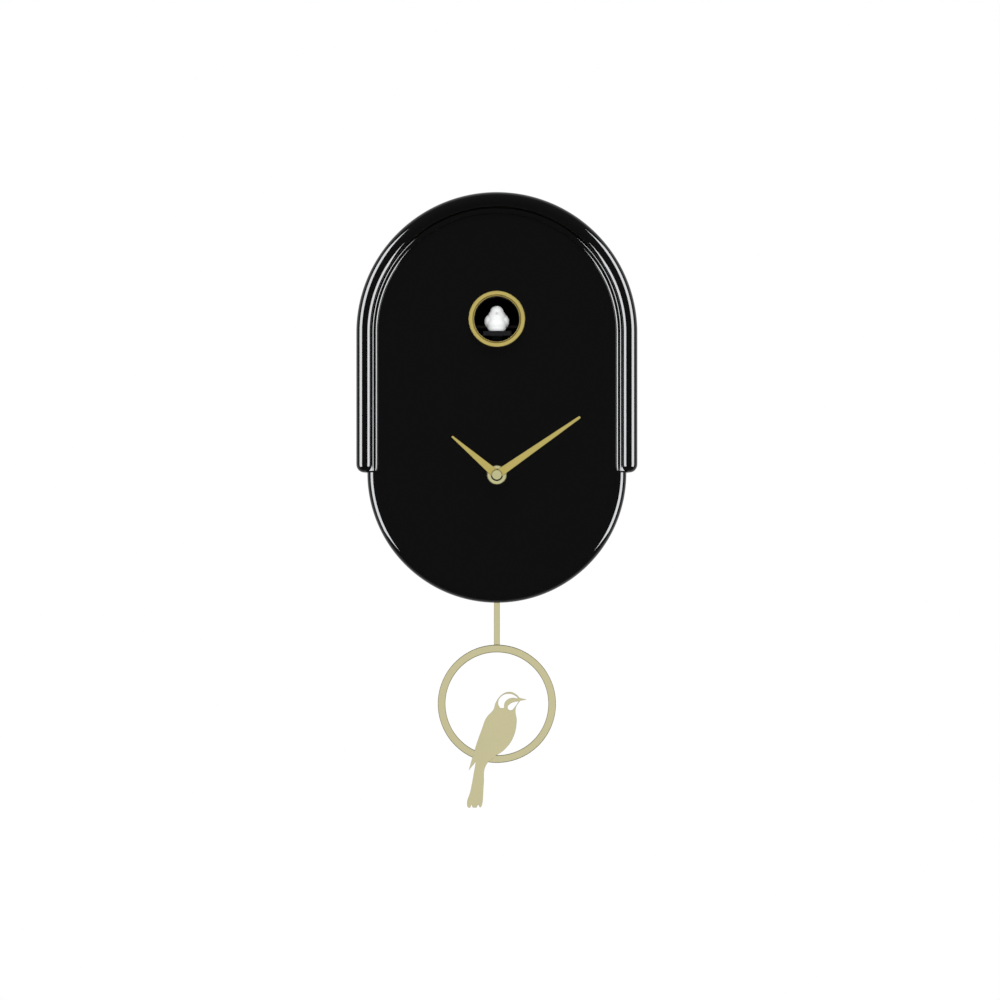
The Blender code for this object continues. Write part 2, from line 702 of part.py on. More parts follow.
def make_movement_case():
    outline = rectangle(*MOVEMENT, 3.0)
    inner = rectangle(*shrunk(MOVEMENT, MOVEMENT_WALL), 1.8)
    front = tray(outline, inner, layer(MOVEMENT_SPLIT - GAP), layer(0), MOVEMENT_WALL)
    join(front, rod(TUBE_OUTER, layer(-TUBE_LENGTH), layer(0.8), "front", CENTRE, 20))
    cut(front, rod(TUBE_INNER, layer(-TUBE_LENGTH - 1), layer(3), "front", CENTRE, 20))
    part("movement_front_case", "black_plastic", front)
    back = tray(outline, inner, layer(MOVEMENT_SPLIT), layer(MOVEMENT_DEPTH), MOVEMENT_WALL)
    inside = shrunk(MOVEMENT, MOVEMENT_WALL / 2)
    wall_y = (layer(MOVEMENT_SPLIT), layer(MOVEMENT_DEPTH - MOVEMENT_WALL / 2))
    join(back, block(inside[0], inside[1], *wall_y, BAY_WALL_Z, BAY_WALL_Z + MOVEMENT_WALL))
    bay = (MOVEMENT[0] + 1.6, MOVEMENT[1] - 1.6, MOVEMENT[2] + 2.2, BAY_WALL_Z - GAP)
    cut(back, plate([rectangle(*bay)], layer(MOVEMENT_DEPTH - 3), layer(MOVEMENT_DEPTH + 1)))
    cut(back, rod(2.2, layer(MOVEMENT_DEPTH - 3), layer(MOVEMENT_DEPTH + 1), "front", KNOB, 16))
    part("movement_rear_case", "black_plastic", back)


def make_train_plates():
    arbors = [THIRD, SECONDS, MIDDLE, ROTOR]
    holes = [circle(*spot, ARBOR + RUNNING, 12) for spot in arbors]
    front_holes = [
        circle(*CENTRE, SHAFT_END + RUNNING, 12),
        circle(*REDUCTION, ARBOR + RUNNING, 12),
        circle(*KNOB, 1.5 + RUNNING, 16),
    ]
    low = layer(PLATE_LAYER)
    high = low + TRAIN_PLATE_THICK
    front = plate([rectangle(*TRAIN_PLATE, 2.0), *holes, *front_holes], low, high)
    for spot in PILLARS:
        join(front, rod(1.0, high - 0.4, layer(BRIDGE_LAYER) - GAP, "front", spot, 10))
    part("train_plate", "steel", front)
    low = layer(BRIDGE_LAYER)
    rear_holes = [circle(*CENTRE, ARBOR + RUNNING, 12), *holes]
    bridge = plate([rectangle(*TRAIN_BRIDGE, 2.0), *rear_holes], low, low + TRAIN_PLATE_THICK)
    part("train_bridge", "steel", bridge)


def arbor(low, high, centre, radius=ARBOR):
    return rod(radius, layer(low), layer(high), "front", centre, 10)


def wheel(teeth, module, low, thick, centre, phase):
    return plate([toothed(teeth, module, centre, phase)], layer(low), layer(low + thick))


def make_time_train():
    """The going train, from the wheel on the hand shaft back to the rotor."""
    phases = {}
    phases["third_pinion"] = mating_phase(CENTRE_TEETH, 0.0, math.radians(45), THIRD_PINION)
    third = phases["third_pinion"]
    seconds = mating_phase(THIRD_TEETH, third, math.radians(135), SECONDS_PINION)
    middle = mating_phase(SECONDS_TEETH, seconds, math.radians(150), MIDDLE_PINION)
    rotor = mating_phase(MIDDLE_TEETH, middle, math.radians(180), ROTOR_PINION)
    front, rear = PLATE_LAYER + 0.1, BRIDGE_LAYER + TRAIN_PLATE_THICK

    centre = wheel(CENTRE_TEETH, TRAIN_MODULE, 6.6, 0.8, CENTRE, 0.0)
    join(centre, arbor(6.5, rear, CENTRE))
    part("centre_wheel", "satin_brass", centre, joint_axis("centre_wheel", CENTRE[0], layer(7), CENTRE[1]))

    wheels = (
        ("third_wheel", THIRD, THIRD_TEETH, TRAIN_MODULE, 8.6, third, THIRD_PINION, 6.4),
        ("seconds_wheel", SECONDS, SECONDS_TEETH, TRAIN_MODULE, 10.4, seconds, SECONDS_PINION, 8.4),
        ("intermediate_wheel", MIDDLE, MIDDLE_TEETH, ROTOR_MODULE, 12.0, middle, MIDDLE_PINION, 10.2),
    )
    for name, spot, teeth, module, low, phase, pinion, pinion_low in wheels:
        gear = wheel(teeth, module, low, 0.6, spot, phase)
        join(gear, wheel(pinion, TRAIN_MODULE, pinion_low, 1.2, spot, phase), arbor(front, rear, spot))
        part(name, "gear_plastic", gear, joint_axis(name, spot[0], layer(low), spot[1]))

    magnet = rod(ROTOR_MAGNET, layer(7.8), layer(10.6), "front", ROTOR, 16)
    pinion = wheel(ROTOR_PINION, ROTOR_MODULE, 11.8, 1.2, ROTOR, rotor)
    join(magnet, pinion, arbor(front, rear, ROTOR, 0.4))
    part("rotor", "magnet", magnet, joint_axis("rotor", ROTOR[0], layer(9), ROTOR[1]))


def make_motion_work():
    """The gears that drive the hands, in front of the train plate."""
    down = math.radians(-90)
    cannon = math.radians(90 / CANNON_TEETH)
    reduction = mating_phase(CANNON_TEETH, cannon, down, REDUCTION_TEETH)
    knob = mating_phase(REDUCTION_TEETH, reduction, down, KNOB_PINION)
    hour = mating_phase(REDUCTION_PINION, reduction, down + math.pi, HOUR_TEETH)

    shaft = rod(SHAFT, MINUTE_HAND_Y + 0.3, layer(4.9), "front", CENTRE, 16)
    join(shaft, rod(SHAFT_END, MINUTE_HAND_Y - HAND_THICK - 1.4, layer(6.2), "front", CENTRE, 12))
    join(shaft, wheel(CANNON_TEETH, MOTION_MODULE, 3.4, 1.2, CENTRE, cannon))
    minute_axis = joint_axis("minute_hand", 0, MINUTE_HAND_Y, 0)
    part("minute_arbor", "steel", shaft, minute_axis)

    gear = wheel(REDUCTION_TEETH, MOTION_MODULE, 3.6, 0.8, REDUCTION, reduction)
    join(gear, wheel(REDUCTION_PINION, HOUR_MODULE, 1.8, 1.4, REDUCTION, reduction))
    join(gear, arbor(1.6, 6.2, REDUCTION))
    axis = joint_axis("reduction_wheel", REDUCTION[0], layer(4), REDUCTION[1])
    part("reduction_wheel", "gear_plastic", gear, axis)

    inside_sleeve = circle(0, 0, (SLEEVE_INNER + SLEEVE_OUTER) / 2, 16)
    outline = toothed(HOUR_TEETH, HOUR_MODULE, CENTRE, hour)
    hour_wheel = plate([outline, inside_sleeve], layer(2.0), layer(3.0))
    sleeve_y = (HOUR_HAND_Y - HAND_THICK, layer(3.2))
    join(hour_wheel, tube(SLEEVE_INNER, SLEEVE_OUTER, *sleeve_y, "front", CENTRE, 16))
    hour_axis = joint_axis("hour_hand", 0, HOUR_HAND_Y, 0)
    part("hour_wheel", "gear_plastic", hour_wheel, hour_axis)

    knob_gear = wheel(KNOB_PINION, MOTION_MODULE, 3.4, 1.2, KNOB, knob)
    join(knob_gear, rod(1.5, layer(3.6), layer(MOVEMENT_DEPTH + 1), "front", KNOB, 12))
    disc = plate([toothed(16, 0.9, KNOB, 0)], layer(MOVEMENT_DEPTH + 0.4), layer(MOVEMENT_DEPTH + 4.4))
    axis = joint_axis("setting_knob", KNOB[0], layer(MOVEMENT_DEPTH), KNOB[1])
    part("setting_knob", "black_plastic", join(knob_gear, disc), axis)
    return minute_axis, hour_axis


def make_movement_electrics():
    low_z = BAY_WALL_Z + MOVEMENT_WALL + 2.2
    board = block(14.5, 26.0, layer(11.5), layer(12.5), low_z, 24)
    join(board, rod(3.0, layer(10.6), layer(11.8), "front", (20, 12), 12))
    part("circuit_board", "board_green", board)
    part("quartz_crystal", "steel", rod(1.0, -2, 5, "top", (20, layer(10.2)), 10))
    coil = [(0, -8), (3.8, -8), (3.8, -7), (3.0, -7), (3.0, 10), (3.8, 10), (3.8, 11), (0, 11)]
    part("motor_coil", "copper", turned(coil, "top", (-22, layer(9.4)), 14, closed=False))
    rotor_hole = circle(*ROTOR, ROTOR_MAGNET + 0.4, 18)
    stator = plate([rectangle(-26, -6, 11.4, 19.4, 1.5), rotor_hole], layer(8.4), layer(9.4))
    part("stator", "steel", stator)


def aa_cell(name, x, y, z):
    """An AA cell along X, its nub towards +X."""
    half = CELL_LENGTH / 2
    profile = [
        (0, -half),
        (CELL_RADIUS - 0.6, -half),
        (CELL_RADIUS, -half + 0.6),
        (CELL_RADIUS, half - 0.6),
        (CELL_RADIUS - 0.6, half),
        (CELL_NUB_RADIUS, half),
        (CELL_NUB_RADIUS, half + CELL_NUB),
        (0, half + CELL_NUB),
    ]
    shifted = [(radius, x + height) for radius, height in profile]
    part(name, "cell_wrap", turned(shifted, "side", (y, z), 20, closed=False))


def make_clock_cell():
    y = layer(CLOCK_CELL_LAYER)
    aa_cell("clock_cell", -0.4, y, CLOCK_CELL_Z)
    half = MOVEMENT[1] - MOVEMENT_WALL - GAP
    plus = block(half - 0.5, half, y - 5, y + 5, CLOCK_CELL_Z - 5, CLOCK_CELL_Z + 5)
    part("cell_contact_plus", "steel", plus)
    minus = block(-half, -half + 0.5, y - 5, y + 5, CLOCK_CELL_Z - 5, CLOCK_CELL_Z + 5)
    dome = [(0, -half + 0.9), (2.5, -half + 0.9), (3.5, -half + 0.2), (0, -half + 0.2)]
    join(minus, turned(dome, "side", (y, CLOCK_CELL_Z), 12, closed=False))
    part("cell_contact_minus", "steel", minus)


def make_dial_hardware():
    low = INSIDE_Y + GAP
    washer = tube(TUBE_OUTER + GAP, WASHER_OUTER, low, low + WASHER_THICK, "front", CENTRE, 24)
    part("rubber_washer", "rubber", washer)
    face = DIAL_Y - GAP
    front = face - NUT_THICK
    nut = [
        (TUBE_OUTER + RUNNING, face),
        (NUT_OUTER, face),
        (NUT_OUTER, front + 0.7),
        (NUT_OUTER - 0.7, front),
        (TUBE_OUTER + RUNNING, front),
    ]
    part("fixing_nut", "satin_brass", turned(nut, "front", CENTRE, 32))


def hand_outline(length, tip, degrees):
    """A round boss drawn out into a long taper with a blunt tip."""
    boss = arc(0, 0, HAND_BOSS, degrees + 92, degrees + 268, 12)
    tip_middle = away(CENTRE, length, degrees)
    side = away(CENTRE, tip / 2, degrees - 90)
    other = away(CENTRE, tip / 2, degrees + 90)
    ends = [
        (tip_middle[0] + side[0], tip_middle[1] + side[1]),
        (tip_middle[0] + other[0], tip_middle[1] + other[1]),
    ]
    return boss + ends


def make_hands(minute_axis, hour_axis):
    hour = [hand_outline(HOUR_LENGTH, HOUR_TIP, HOUR_ANGLE), circle(0, 0, SLEEVE_OUTER + 0.1, 20)]
    part("hour_hand", "satin_brass", plate(hour, HOUR_HAND_Y - HAND_THICK, HOUR_HAND_Y), hour_axis)
    minute = [hand_outline(MINUTE_LENGTH, MINUTE_TIP, MINUTE_ANGLE), circle(0, 0, SHAFT_END + 0.1, 16)]
    back = MINUTE_HAND_Y
    part("minute_hand", "satin_brass", plate(minute, back - HAND_THICK, back), minute_axis)
    seat = back - HAND_THICK - GAP
    cap = [
        (SHAFT_END + 0.1, seat),
        (CAP_RADIUS, seat),
        (CAP_RADIUS, seat - 0.6 * CAP_LENGTH),
        (CAP_RADIUS - 0.8, seat - CAP_LENGTH),
        (0, seat - CAP_LENGTH),
        (0, seat - 1.4),
        (SHAFT_END + 0.1, seat - 1.4),
    ]
    part("cap_nut", "satin_brass", turned(cap, "front", CENTRE, 28), minute_axis)


# Pendulum


def make_pendulum_bracket():
    """A U-shaped bracket on the inside of the dial, with its pivot pin and drive coil."""
    front_y = PENDULUM_Y - BRACKET_REACH
    rear_y = PENDULUM_Y + BRACKET_REACH
    wide = BRACKET_HALF_WIDTH
    pin_hole = circle(0, PIVOT_Z, PIVOT_RADIUS + RUNNING, 12)
    outline = [rectangle(-wide, wide, BRACKET_LOW_Z, BRACKET_TOP_Z, 2.0), pin_hole]
    front = plate(outline, front_y, front_y + BRACKET_PLATE)
    rear = plate(outline, rear_y - BRACKET_PLATE, rear_y)
    bridge_z = (BRACKET_TOP_Z - BRACKET_PLATE, BRACKET_TOP_Z - 0.1)
    bridge = block(-wide + 2, wide - 2, front_y + 0.5, rear_y - 0.5, *bridge_z)
    foot = block(-9, 9, INSIDE_Y + GAP, front_y + 0.5, -84, -68)
    part("pendulum_bracket", "grey_plastic", join(front, rear, bridge, foot))
    part("pivot_pin", "steel", rod(PIVOT_RADIUS, front_y - 0.8, rear_y + 0.8, "front", (0, PIVOT_Z), 12))
    low = front_y + BRACKET_PLATE + GAP
    part("swing_coil", "copper", tube(3.0, 7.0, low, low + 4.5, "front", (0, MAGNET_Z), 20))


def make_pendulum():
    axis = joint_axis("pendulum", 0, PENDULUM_Y, PIVOT_Z)
    back = PENDULUM_Y + PENDULUM_RING_THICK / 2
    hub = circle(0, PIVOT_Z, 4.0, 20)
    arm = plate([hub, circle(0, PIVOT_Z, PIVOT_RADIUS + RUNNING, 12)], back - ARM_THICK, back)
    leg = block(-3, 3, back - ARM_THICK + 0.3, back - 0.3, ARM_END_Z, PIVOT_Z - 2.4)
    part("swing_arm", "grey_plastic", join(arm, leg), axis)
    magnet_y = back - ARM_THICK - GAP
    magnet = rod(MAGNET_RADIUS, magnet_y - MAGNET_LENGTH, magnet_y, "front", (0, MAGNET_Z), 16)
    part("swing_magnet", "magnet", magnet, axis)
    low_z = RING_CENTRE_Z + PENDULUM_RING_INNER + 0.6
    strip = [rectangle(-ROD_WIDTH / 2, ROD_WIDTH / 2, low_z, ARM_END_Z + 3.0)]
    part("pendulum_rod", "polished_brass", plate(strip, back + GAP, back + GAP + ROD_THICK), axis)
    part("pendulum_ring", "polished_brass", make_ring_and_bird(), axis)


# The bird silhouette, about the ring's centre: x, z, and whether it is a sharp corner
BIRD = (
    (16.8, 4.3, True), (21.9, 3.1, True), (17.0, 2.2, True), (13.9, -3.2, False),
    (14.6, -13.3, False), (11.8, -25.2, False), (5.8, -33.5, False), (-2.4, -39.6, False),
    (-8.2, -45.6, False), (-9.7, -59.4, False), (-11.2, -75.1, False), (-12.3, -76.4, True),
    (-13.8, -74.1, True), (-15.0, -76.4, True), (-17.7, -76.4, True), (-18.7, -74.1, True),
    (-19.6, -76.4, True), (-20.9, -76.4, False), (-21.9, -74.6, False), (-19.4, -64.0, False),
    (-16.6, -49.0, False), (-15.5, -42.6, True), (-20.8, -49.2, True), (-17.7, -38.6, False),
    (-15.0, -29.7, False), (-10.9, -18.2, False), (-7.9, -10.6, False), (-2.4, -4.0, False),
    (-1.0, 0.4, False), (3.3, 6.4, False), (9.0, 8.75, False), (13.9, 7.1, False),
)
CRESCENT = (
    (0.9, 0.6, False), (3.3, 5.5, False), (8.9, 7.4, False), (14.2, 5.5, False),
    (15.6, 3.7, True), (11.1, 4.3, False), (6.6, 2.0, False), (5.3, -1.2, False),
    (5.4, -3.2, True), (2.3, -3.2, True),
)
CHEEK_SPOT = (
    (16.2, 2.0, True), (13.4, -2.1, False), (10.1, -4.9, False), (7.9, -2.7, False), (10.6, 0.5, False),
)


def make_ring_and_bird():
    def about_ring(points):
        return [(x, RING_CENTRE_Z + z, sharp) for x, z, sharp in points]

    ring_y = (PENDULUM_Y - PENDULUM_RING_THICK / 2, PENDULUM_Y + PENDULUM_RING_THICK / 2)
    radii = (PENDULUM_RING_INNER, PENDULUM_RING_OUTER)
    band = tube(*radii, *ring_y, "front", (0, RING_CENTRE_Z), 60)
    outlines = [about_ring(BIRD), about_ring(CRESCENT), about_ring(CHEEK_SPOT)]
    bird = smooth_plate(outlines, PENDULUM_Y - BIRD_THICK / 2, PENDULUM_Y + BIRD_THICK / 2)
    return join(band, bird)


# Cuckoo


def cuckoo_y(back):
    """World y of a distance behind the inside of the dial."""
    return INSIDE_Y + back


def make_bird_carriage():
    axis = joint_axis("bird", 0, cuckoo_y(0), PLATFORM_Z)
    low_z = PLATFORM_Z - PLATFORM_THICK
    deck = block(-PLATFORM_HALF_WIDTH, PLATFORM_HALF_WIDTH, cuckoo_y(2), cuckoo_y(14), low_z, PLATFORM_Z)
    rib_y = (cuckoo_y(3), cuckoo_y(CARRIAGE_END))
    rib = block(-RIB_HALF_WIDTH, RIB_HALF_WIDTH, *rib_y, RACK_ROOT_Z, PLATFORM_Z - 0.2)
    join(deck, rib)
    pitch = math.pi * RACK_MODULE
    tip, root = TOOTH_TIP * pitch / 2, TOOTH_ROOT * pitch / 2
    tip_z = RACK_ROOT_Z - RACK_MODULE * (ADDENDUM + DEDENDUM)
    top_z = RACK_ROOT_Z + 1.0
    for tooth in range(int(BIRD_TRAVEL / pitch) + 2):
        y = cuckoo_y(AXLE_LAYER) + (tooth - 0.5) * pitch
        outline = [(y - root, RACK_ROOT_Z), (y - tip, tip_z), (y + tip, tip_z), (y + root, RACK_ROOT_Z)]
        outline += [(y + root, top_z), (y - root, top_z)]
        join(deck, plate([outline], -RIB_HALF_WIDTH + 0.5, RIB_HALF_WIDTH - 0.5, "side"))
    part("bird_carriage", "black_plastic", deck, axis)
    return axis


def make_cuckoo_bird(axis):
    profile = [
        (0, 123.9), (2.8, 123.4), (4.8, 121.4), (5.2, 118.9), (6.4, 116.4), (8.6, 114.2),
        (BIRD_RADIUS, 112.0), (8.6, 108.6), (6.6, 106.2), (5.2, PLATFORM_Z + GAP), (0, PLATFORM_Z + GAP),
    ]
    y = cuckoo_y(BIRD_LAYER)
    body = turned(profile, "top", (0, y), 28, closed=False)
    beak = [(0, y - 9.0), (0.5, y - 8.6), (1.5, y - 4.0), (0, y - 4.0)]
    join(body, turned(beak, "front", (0, 119.4), 10, closed=False))
    part("cuckoo_bird", "white_plastic", body, axis)


def make_cuckoo_drive():
    """A rack pinion and its gear on a cross axle, and the motor that turns them."""
    y = cuckoo_y(AXLE_LAYER)
    z = RACK_ROOT_Z - RACK_MODULE * (RACK_PINION / 2 + DEDENDUM)
    up = math.pi / 2
    drive_phase = math.radians(4.5)
    motor_phase = mating_phase(DRIVE_TEETH, drive_phase, 0.0, MOTOR_PINION)
    core = circle(y, z, AXLE_RADIUS + 1.0, 14)
    pinion = plate([toothed(RACK_PINION, RACK_MODULE, (y, z), up), core], -3.0, 3.0, "side")
    gear_outline = toothed(DRIVE_TEETH, DRIVE_MODULE, (y, z), drive_phase)
    gear = plate([gear_outline, core], *DRIVE_GEAR_X, "side")
    hub = tube(AXLE_RADIUS + RUNNING, 4.0, -3.5, DRIVE_GEAR_X[1] + 0.5, "side", (y, z), 14)
    part("drive_gear", "gear_plastic", join(gear, hub, pinion), joint_axis("drive_gear", 0, y, z))
    reach = CHEEK_X + CHEEK + 0.5
    part("gear_axle", "steel", rod(AXLE_RADIUS, -reach, reach, "side", (y, z), 14))
    motor_y = y + DRIVE_MODULE * (DRIVE_TEETH + MOTOR_PINION) / 2
    motor = rod(MOTOR_RADIUS, *MOTOR_X, "side", (motor_y, z), 24)
    join(motor, rod(2.5, MOTOR_X[1] - 1, MOTOR_X[1] + 1.2, "side", (motor_y, z), 14))
    part("cuckoo_motor", "steel", motor)
    small_outline = toothed(MOTOR_PINION, DRIVE_MODULE, (motor_y, z), motor_phase)
    small = plate([small_outline], DRIVE_GEAR_X[0] - 0.5, DRIVE_GEAR_X[1] + 0.5, "side")
    join(small, rod(1.0, MOTOR_X[1] + 1.5, DRIVE_GEAR_X[1], "side", (motor_y, z), 10))
    part("motor_pinion", "satin_brass", small, joint_axis("motor_pinion", 0, motor_y, z))
    return y, z


def make_cuckoo_frame(axle_y, axle_z):
    """Two cheeks and a roof behind the window, with rails that guide the carriage's rib."""
    front, back = cuckoo_y(GAP), cuckoo_y(FRAME_END)
    low, top = CHEEK_LOW_Z, CHEEK_TOP_Z
    axle_hole = circle(axle_y, axle_z, AXLE_RADIUS + RUNNING, 14)
    outline = [rectangle(front, back, low, top + 1.0, 2.0), axle_hole]
    left = plate(outline, -CHEEK_X - CHEEK, -CHEEK_X, "side")
    right = plate(outline, CHEEK_X, CHEEK_X + CHEEK, "side")
    roof_front = cuckoo_y(BIRD_LAYER + BIRD_RADIUS + 2 * GAP)
    roof = block(-CHEEK_X - CHEEK / 2, CHEEK_X + CHEEK / 2, roof_front, back - 1, top, top + 2.0)
    rails = []
    for side in (-1, 1):
        near, far = sorted((side * (RIB_HALF_WIDTH + GAP), side * (RIB_HALF_WIDTH + GAP + 2.0)))
        rails.append(block(near, far, roof_front + 0.5, back - 1.5, RACK_ROOT_Z + 0.4, top + 1))
    part("cuckoo_frame", "grey_plastic", join(left, right, roof, *rails))


# Sound


def make_speaker():
    edge = -COVER - GAP
    rim = SPEAKER_RADIUS
    basket = [
        (rim, edge), (rim, edge - 1.5), (rim - 3, edge - 1.6), (14, edge - 12), (14, edge - 19),
        (0, edge - 19), (0, edge - 11.5), (11, edge - 11.5), (rim - 4, edge - 1.4), (rim - 2, edge),
    ]
    part("speaker_basket", "steel", turned(basket, "front", SPEAKER, 28))
    cone = [
        (0, edge - 6.5), (3, edge - 7.0), (5.4, edge - 8.2), (rim - 4.4, edge - 0.2),
        (rim - 4.4, edge - 1.0), (5.0, edge - 9.2), (0, edge - 9.2),
    ]
    part("speaker_cone", "paper", turned(cone, "front", SPEAKER, 28, closed=False))


def make_sound_board():
    high = -COVER - BOARD_STANDOFF
    low = high - BOARD_THICK
    board = block(BOARD[0], BOARD[1], low, high, BOARD[2], BOARD[3])
    join(board, block(-76, -64, low - 2, low + 0.5, 68, 78))
    join(board, rod(3.0, low - 7, low + 0.5, "front", (-48, 74), 14))
    join(board, rod(2.5, low - 6, low + 0.5, "front", (-46, 56), 14))
    part("sound_board", "board_green", board)
    axis = joint_axis("volume_slider", SLIDER[0], high, SLIDER[1])
    base = block(SLIDER[0] - 3.5, SLIDER[0] + 3.5, high + GAP, high + 2.0, SLIDER[1] - 3, SLIDER[1] + 3)
    stem = block(SLIDER[0] - 2, SLIDER[0] + 2, high + 1.5, -0.6, SLIDER[1] - 1.6, SLIDER[1] + 1.6)
    part("volume_slider", "grey_plastic", join(base, stem), axis)


def make_battery_box():
    mouth = -COVER - GAP
    floor = mouth - BATTERY_BOX_DEPTH
    outline = rectangle(*BATTERY_BOX, 2.0)
    inner = rectangle(*shrunk(BATTERY_BOX, BATTERY_WALL), 1.2)
    part("battery_box", "black_plastic", tray(outline, inner, mouth, floor, 1.2))
    y = floor + 1.2 + GAP + CELL_RADIUS
    middle = (BATTERY_BOX[0] + BATTERY_BOX[1]) / 2
    for number, z in enumerate(BATTERY_ZS, 1):
        aa_cell(f"battery_{number}", middle - 0.4, y, z)
    low_x = BATTERY_BOX[0] + BATTERY_WALL + GAP
    high_x = BATTERY_BOX[1] - BATTERY_WALL - GAP
    reach, thick = 5.0, 0.4
    low_z, high_z = BATTERY_ZS[0] - reach, BATTERY_ZS[1] + reach
    bridge = block(low_x, low_x + thick, y - reach, y + reach, low_z, high_z)
    part("battery_bridge", "steel", bridge)
    terminal = block(high_x - thick, high_x, y - reach, y + reach, BATTERY_ZS[1] - reach, high_z)
    part("battery_terminal", "steel", terminal)


def main():
    for obj in list(bpy.data.objects):
        bpy.data.objects.remove(obj, do_unlink=True)
    bpy.context.scene.collection.children.link(PARTS)
    bpy.context.scene.collection.children.link(HELPERS)
    make_front_shell()
    make_hood()
    make_window()
    make_back_cover()
    make_cover_screws()
    make_door("movement_door", MOVEMENT_DOOR)
    make_door("battery_door", shrunk(BATTERY_BOX, BATTERY_DOOR_INSET))
    make_movement_case()
    make_train_plates()
    make_time_train()
    minute_axis, hour_axis = make_motion_work()
    make_movement_electrics()
    make_clock_cell()
    make_dial_hardware()
    make_hands(minute_axis, hour_axis)
    make_pendulum_bracket()
    make_pendulum()
    carriage_axis = make_bird_carriage()
    make_cuckoo_bird(carriage_axis)
    axle_y, axle_z = make_cuckoo_drive()
    make_cuckoo_frame(axle_y, axle_z)
    make_speaker()
    make_sound_board()
    make_battery_box()


main()
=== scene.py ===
"""Looks of the pendulum wall clock: smooth visible pieces and procedural finishes.

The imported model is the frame. Outlines here are (u, v) points in millimetres, and MM turns them
into metres. The front of the clock faces -Y and +Z is up.
"""

import json
import math

import bmesh
import bpy
from mathutils import Euler, Matrix, Vector


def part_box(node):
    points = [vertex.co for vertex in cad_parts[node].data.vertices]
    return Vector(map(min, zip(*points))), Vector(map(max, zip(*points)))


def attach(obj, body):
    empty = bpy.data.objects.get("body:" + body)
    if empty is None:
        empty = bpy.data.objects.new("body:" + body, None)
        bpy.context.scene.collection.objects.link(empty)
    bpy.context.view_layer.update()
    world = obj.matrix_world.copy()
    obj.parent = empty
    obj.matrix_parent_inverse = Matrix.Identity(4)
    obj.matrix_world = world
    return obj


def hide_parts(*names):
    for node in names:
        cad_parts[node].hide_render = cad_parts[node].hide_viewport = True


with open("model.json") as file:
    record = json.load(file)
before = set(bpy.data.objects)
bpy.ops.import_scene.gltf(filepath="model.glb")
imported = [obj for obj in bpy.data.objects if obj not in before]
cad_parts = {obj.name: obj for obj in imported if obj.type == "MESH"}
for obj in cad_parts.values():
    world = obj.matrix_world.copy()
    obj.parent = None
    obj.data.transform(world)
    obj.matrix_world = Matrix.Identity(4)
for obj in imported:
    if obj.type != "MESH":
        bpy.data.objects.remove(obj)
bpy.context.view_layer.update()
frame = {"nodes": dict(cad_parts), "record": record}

MM = 0.001
SHARP = 35  # edges that turn by more degrees than this stay sharp
CUT_PAST = 1.0  # how far a cutter reaches past what it cuts


def extent(node):
    """Low and high x, y and z of a CAD node, in millimetres."""
    return [value / MM for pair in zip(*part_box(node)) for value in pair]


# Places taken from the frame
SHELL = extent("front_shell")
HALF_WIDTH, DIAL_Y = SHELL[1], SHELL[2]
LOWER_ARC_Z, UPPER_ARC_Z = SHELL[4] + HALF_WIDTH, SHELL[5] - HALF_WIDTH
HOOD = extent("hood")
WINDOW = extent("window_ring")
WINDOW_Z = (WINDOW[4] + WINDOW[5]) / 2
PENDULUM = extent("pendulum_ring")
PENDULUM_Z = PENDULUM[5] - PENDULUM[1]  # the ring's centre; the bird's tail reaches below the ring

# Case and hood
WALL = 2.5
EDGE_RADIUS = 6.0
RIM_CHAMFER = 0.4
FACE_INSET = 0.5  # keeps the round edge's last strip narrow
CASE_STEPS = 180
HOOD_ROOM = 0.3  # between the hood and the shell
HOOD_INNER = HALF_WIDTH + HOOD_ROOM
HOOD_CHAMFER = 0.6
BEAD_RADIUS = 6.1
BEAD_END = -150  # degrees from +X towards the back
SMALL_BEAD_RADIUS = 2.7
SMALL_BEAD_IN = 13.4  # its centre, in from the hood's outside
SMALL_BEAD_SINK = 1.0  # its centre, behind the dial's face
SMALL_BEAD_START = -46
POCKET_WALL = 2.4
POCKET_DEPTH = 60.0
POCKET_LEAST = 0.2
END_STEPS = 12  # rings in each round end of the hood
END_CLOSE = 0.9  # how far an end draws in to its spine
SLOT_HALF_WIDTH, SLOT_HALF_DEPTH, SLOT_CORNER = 8.0, 3.5, 2
SLOT_BACK = 2  # its middle, behind the ring's
TUBE_HOLE = 4.3

# Window
RING_INNER = 16.6
TUNNEL_INNER = 16.2
TUNNEL_WALL = 1.4
TUNNEL_ROOM = 0.3

# Hands: length from the shaft, half width at the shaft and the tip, degrees from +X towards +Z
HAND_BOSS = 3.6
HAND_EDGE = 0.14
HAND_BORES = {"minute_hand": 1.0, "hour_hand": 2.5}
MINUTE_HAND = (73.8, 2.95, 1.0, 34.8)
HOUR_HAND = (43.1, 3.1, 0.75, 139.3)

# Pendulum
BAND_INNER = 37.9
BAND_ROUNDING = 0.55
BIRD_EDGE = 0.12
BIRD_PROUD = 0.02  # keeps the bird's faces off the ring's
ROD_EDGE = 0.3

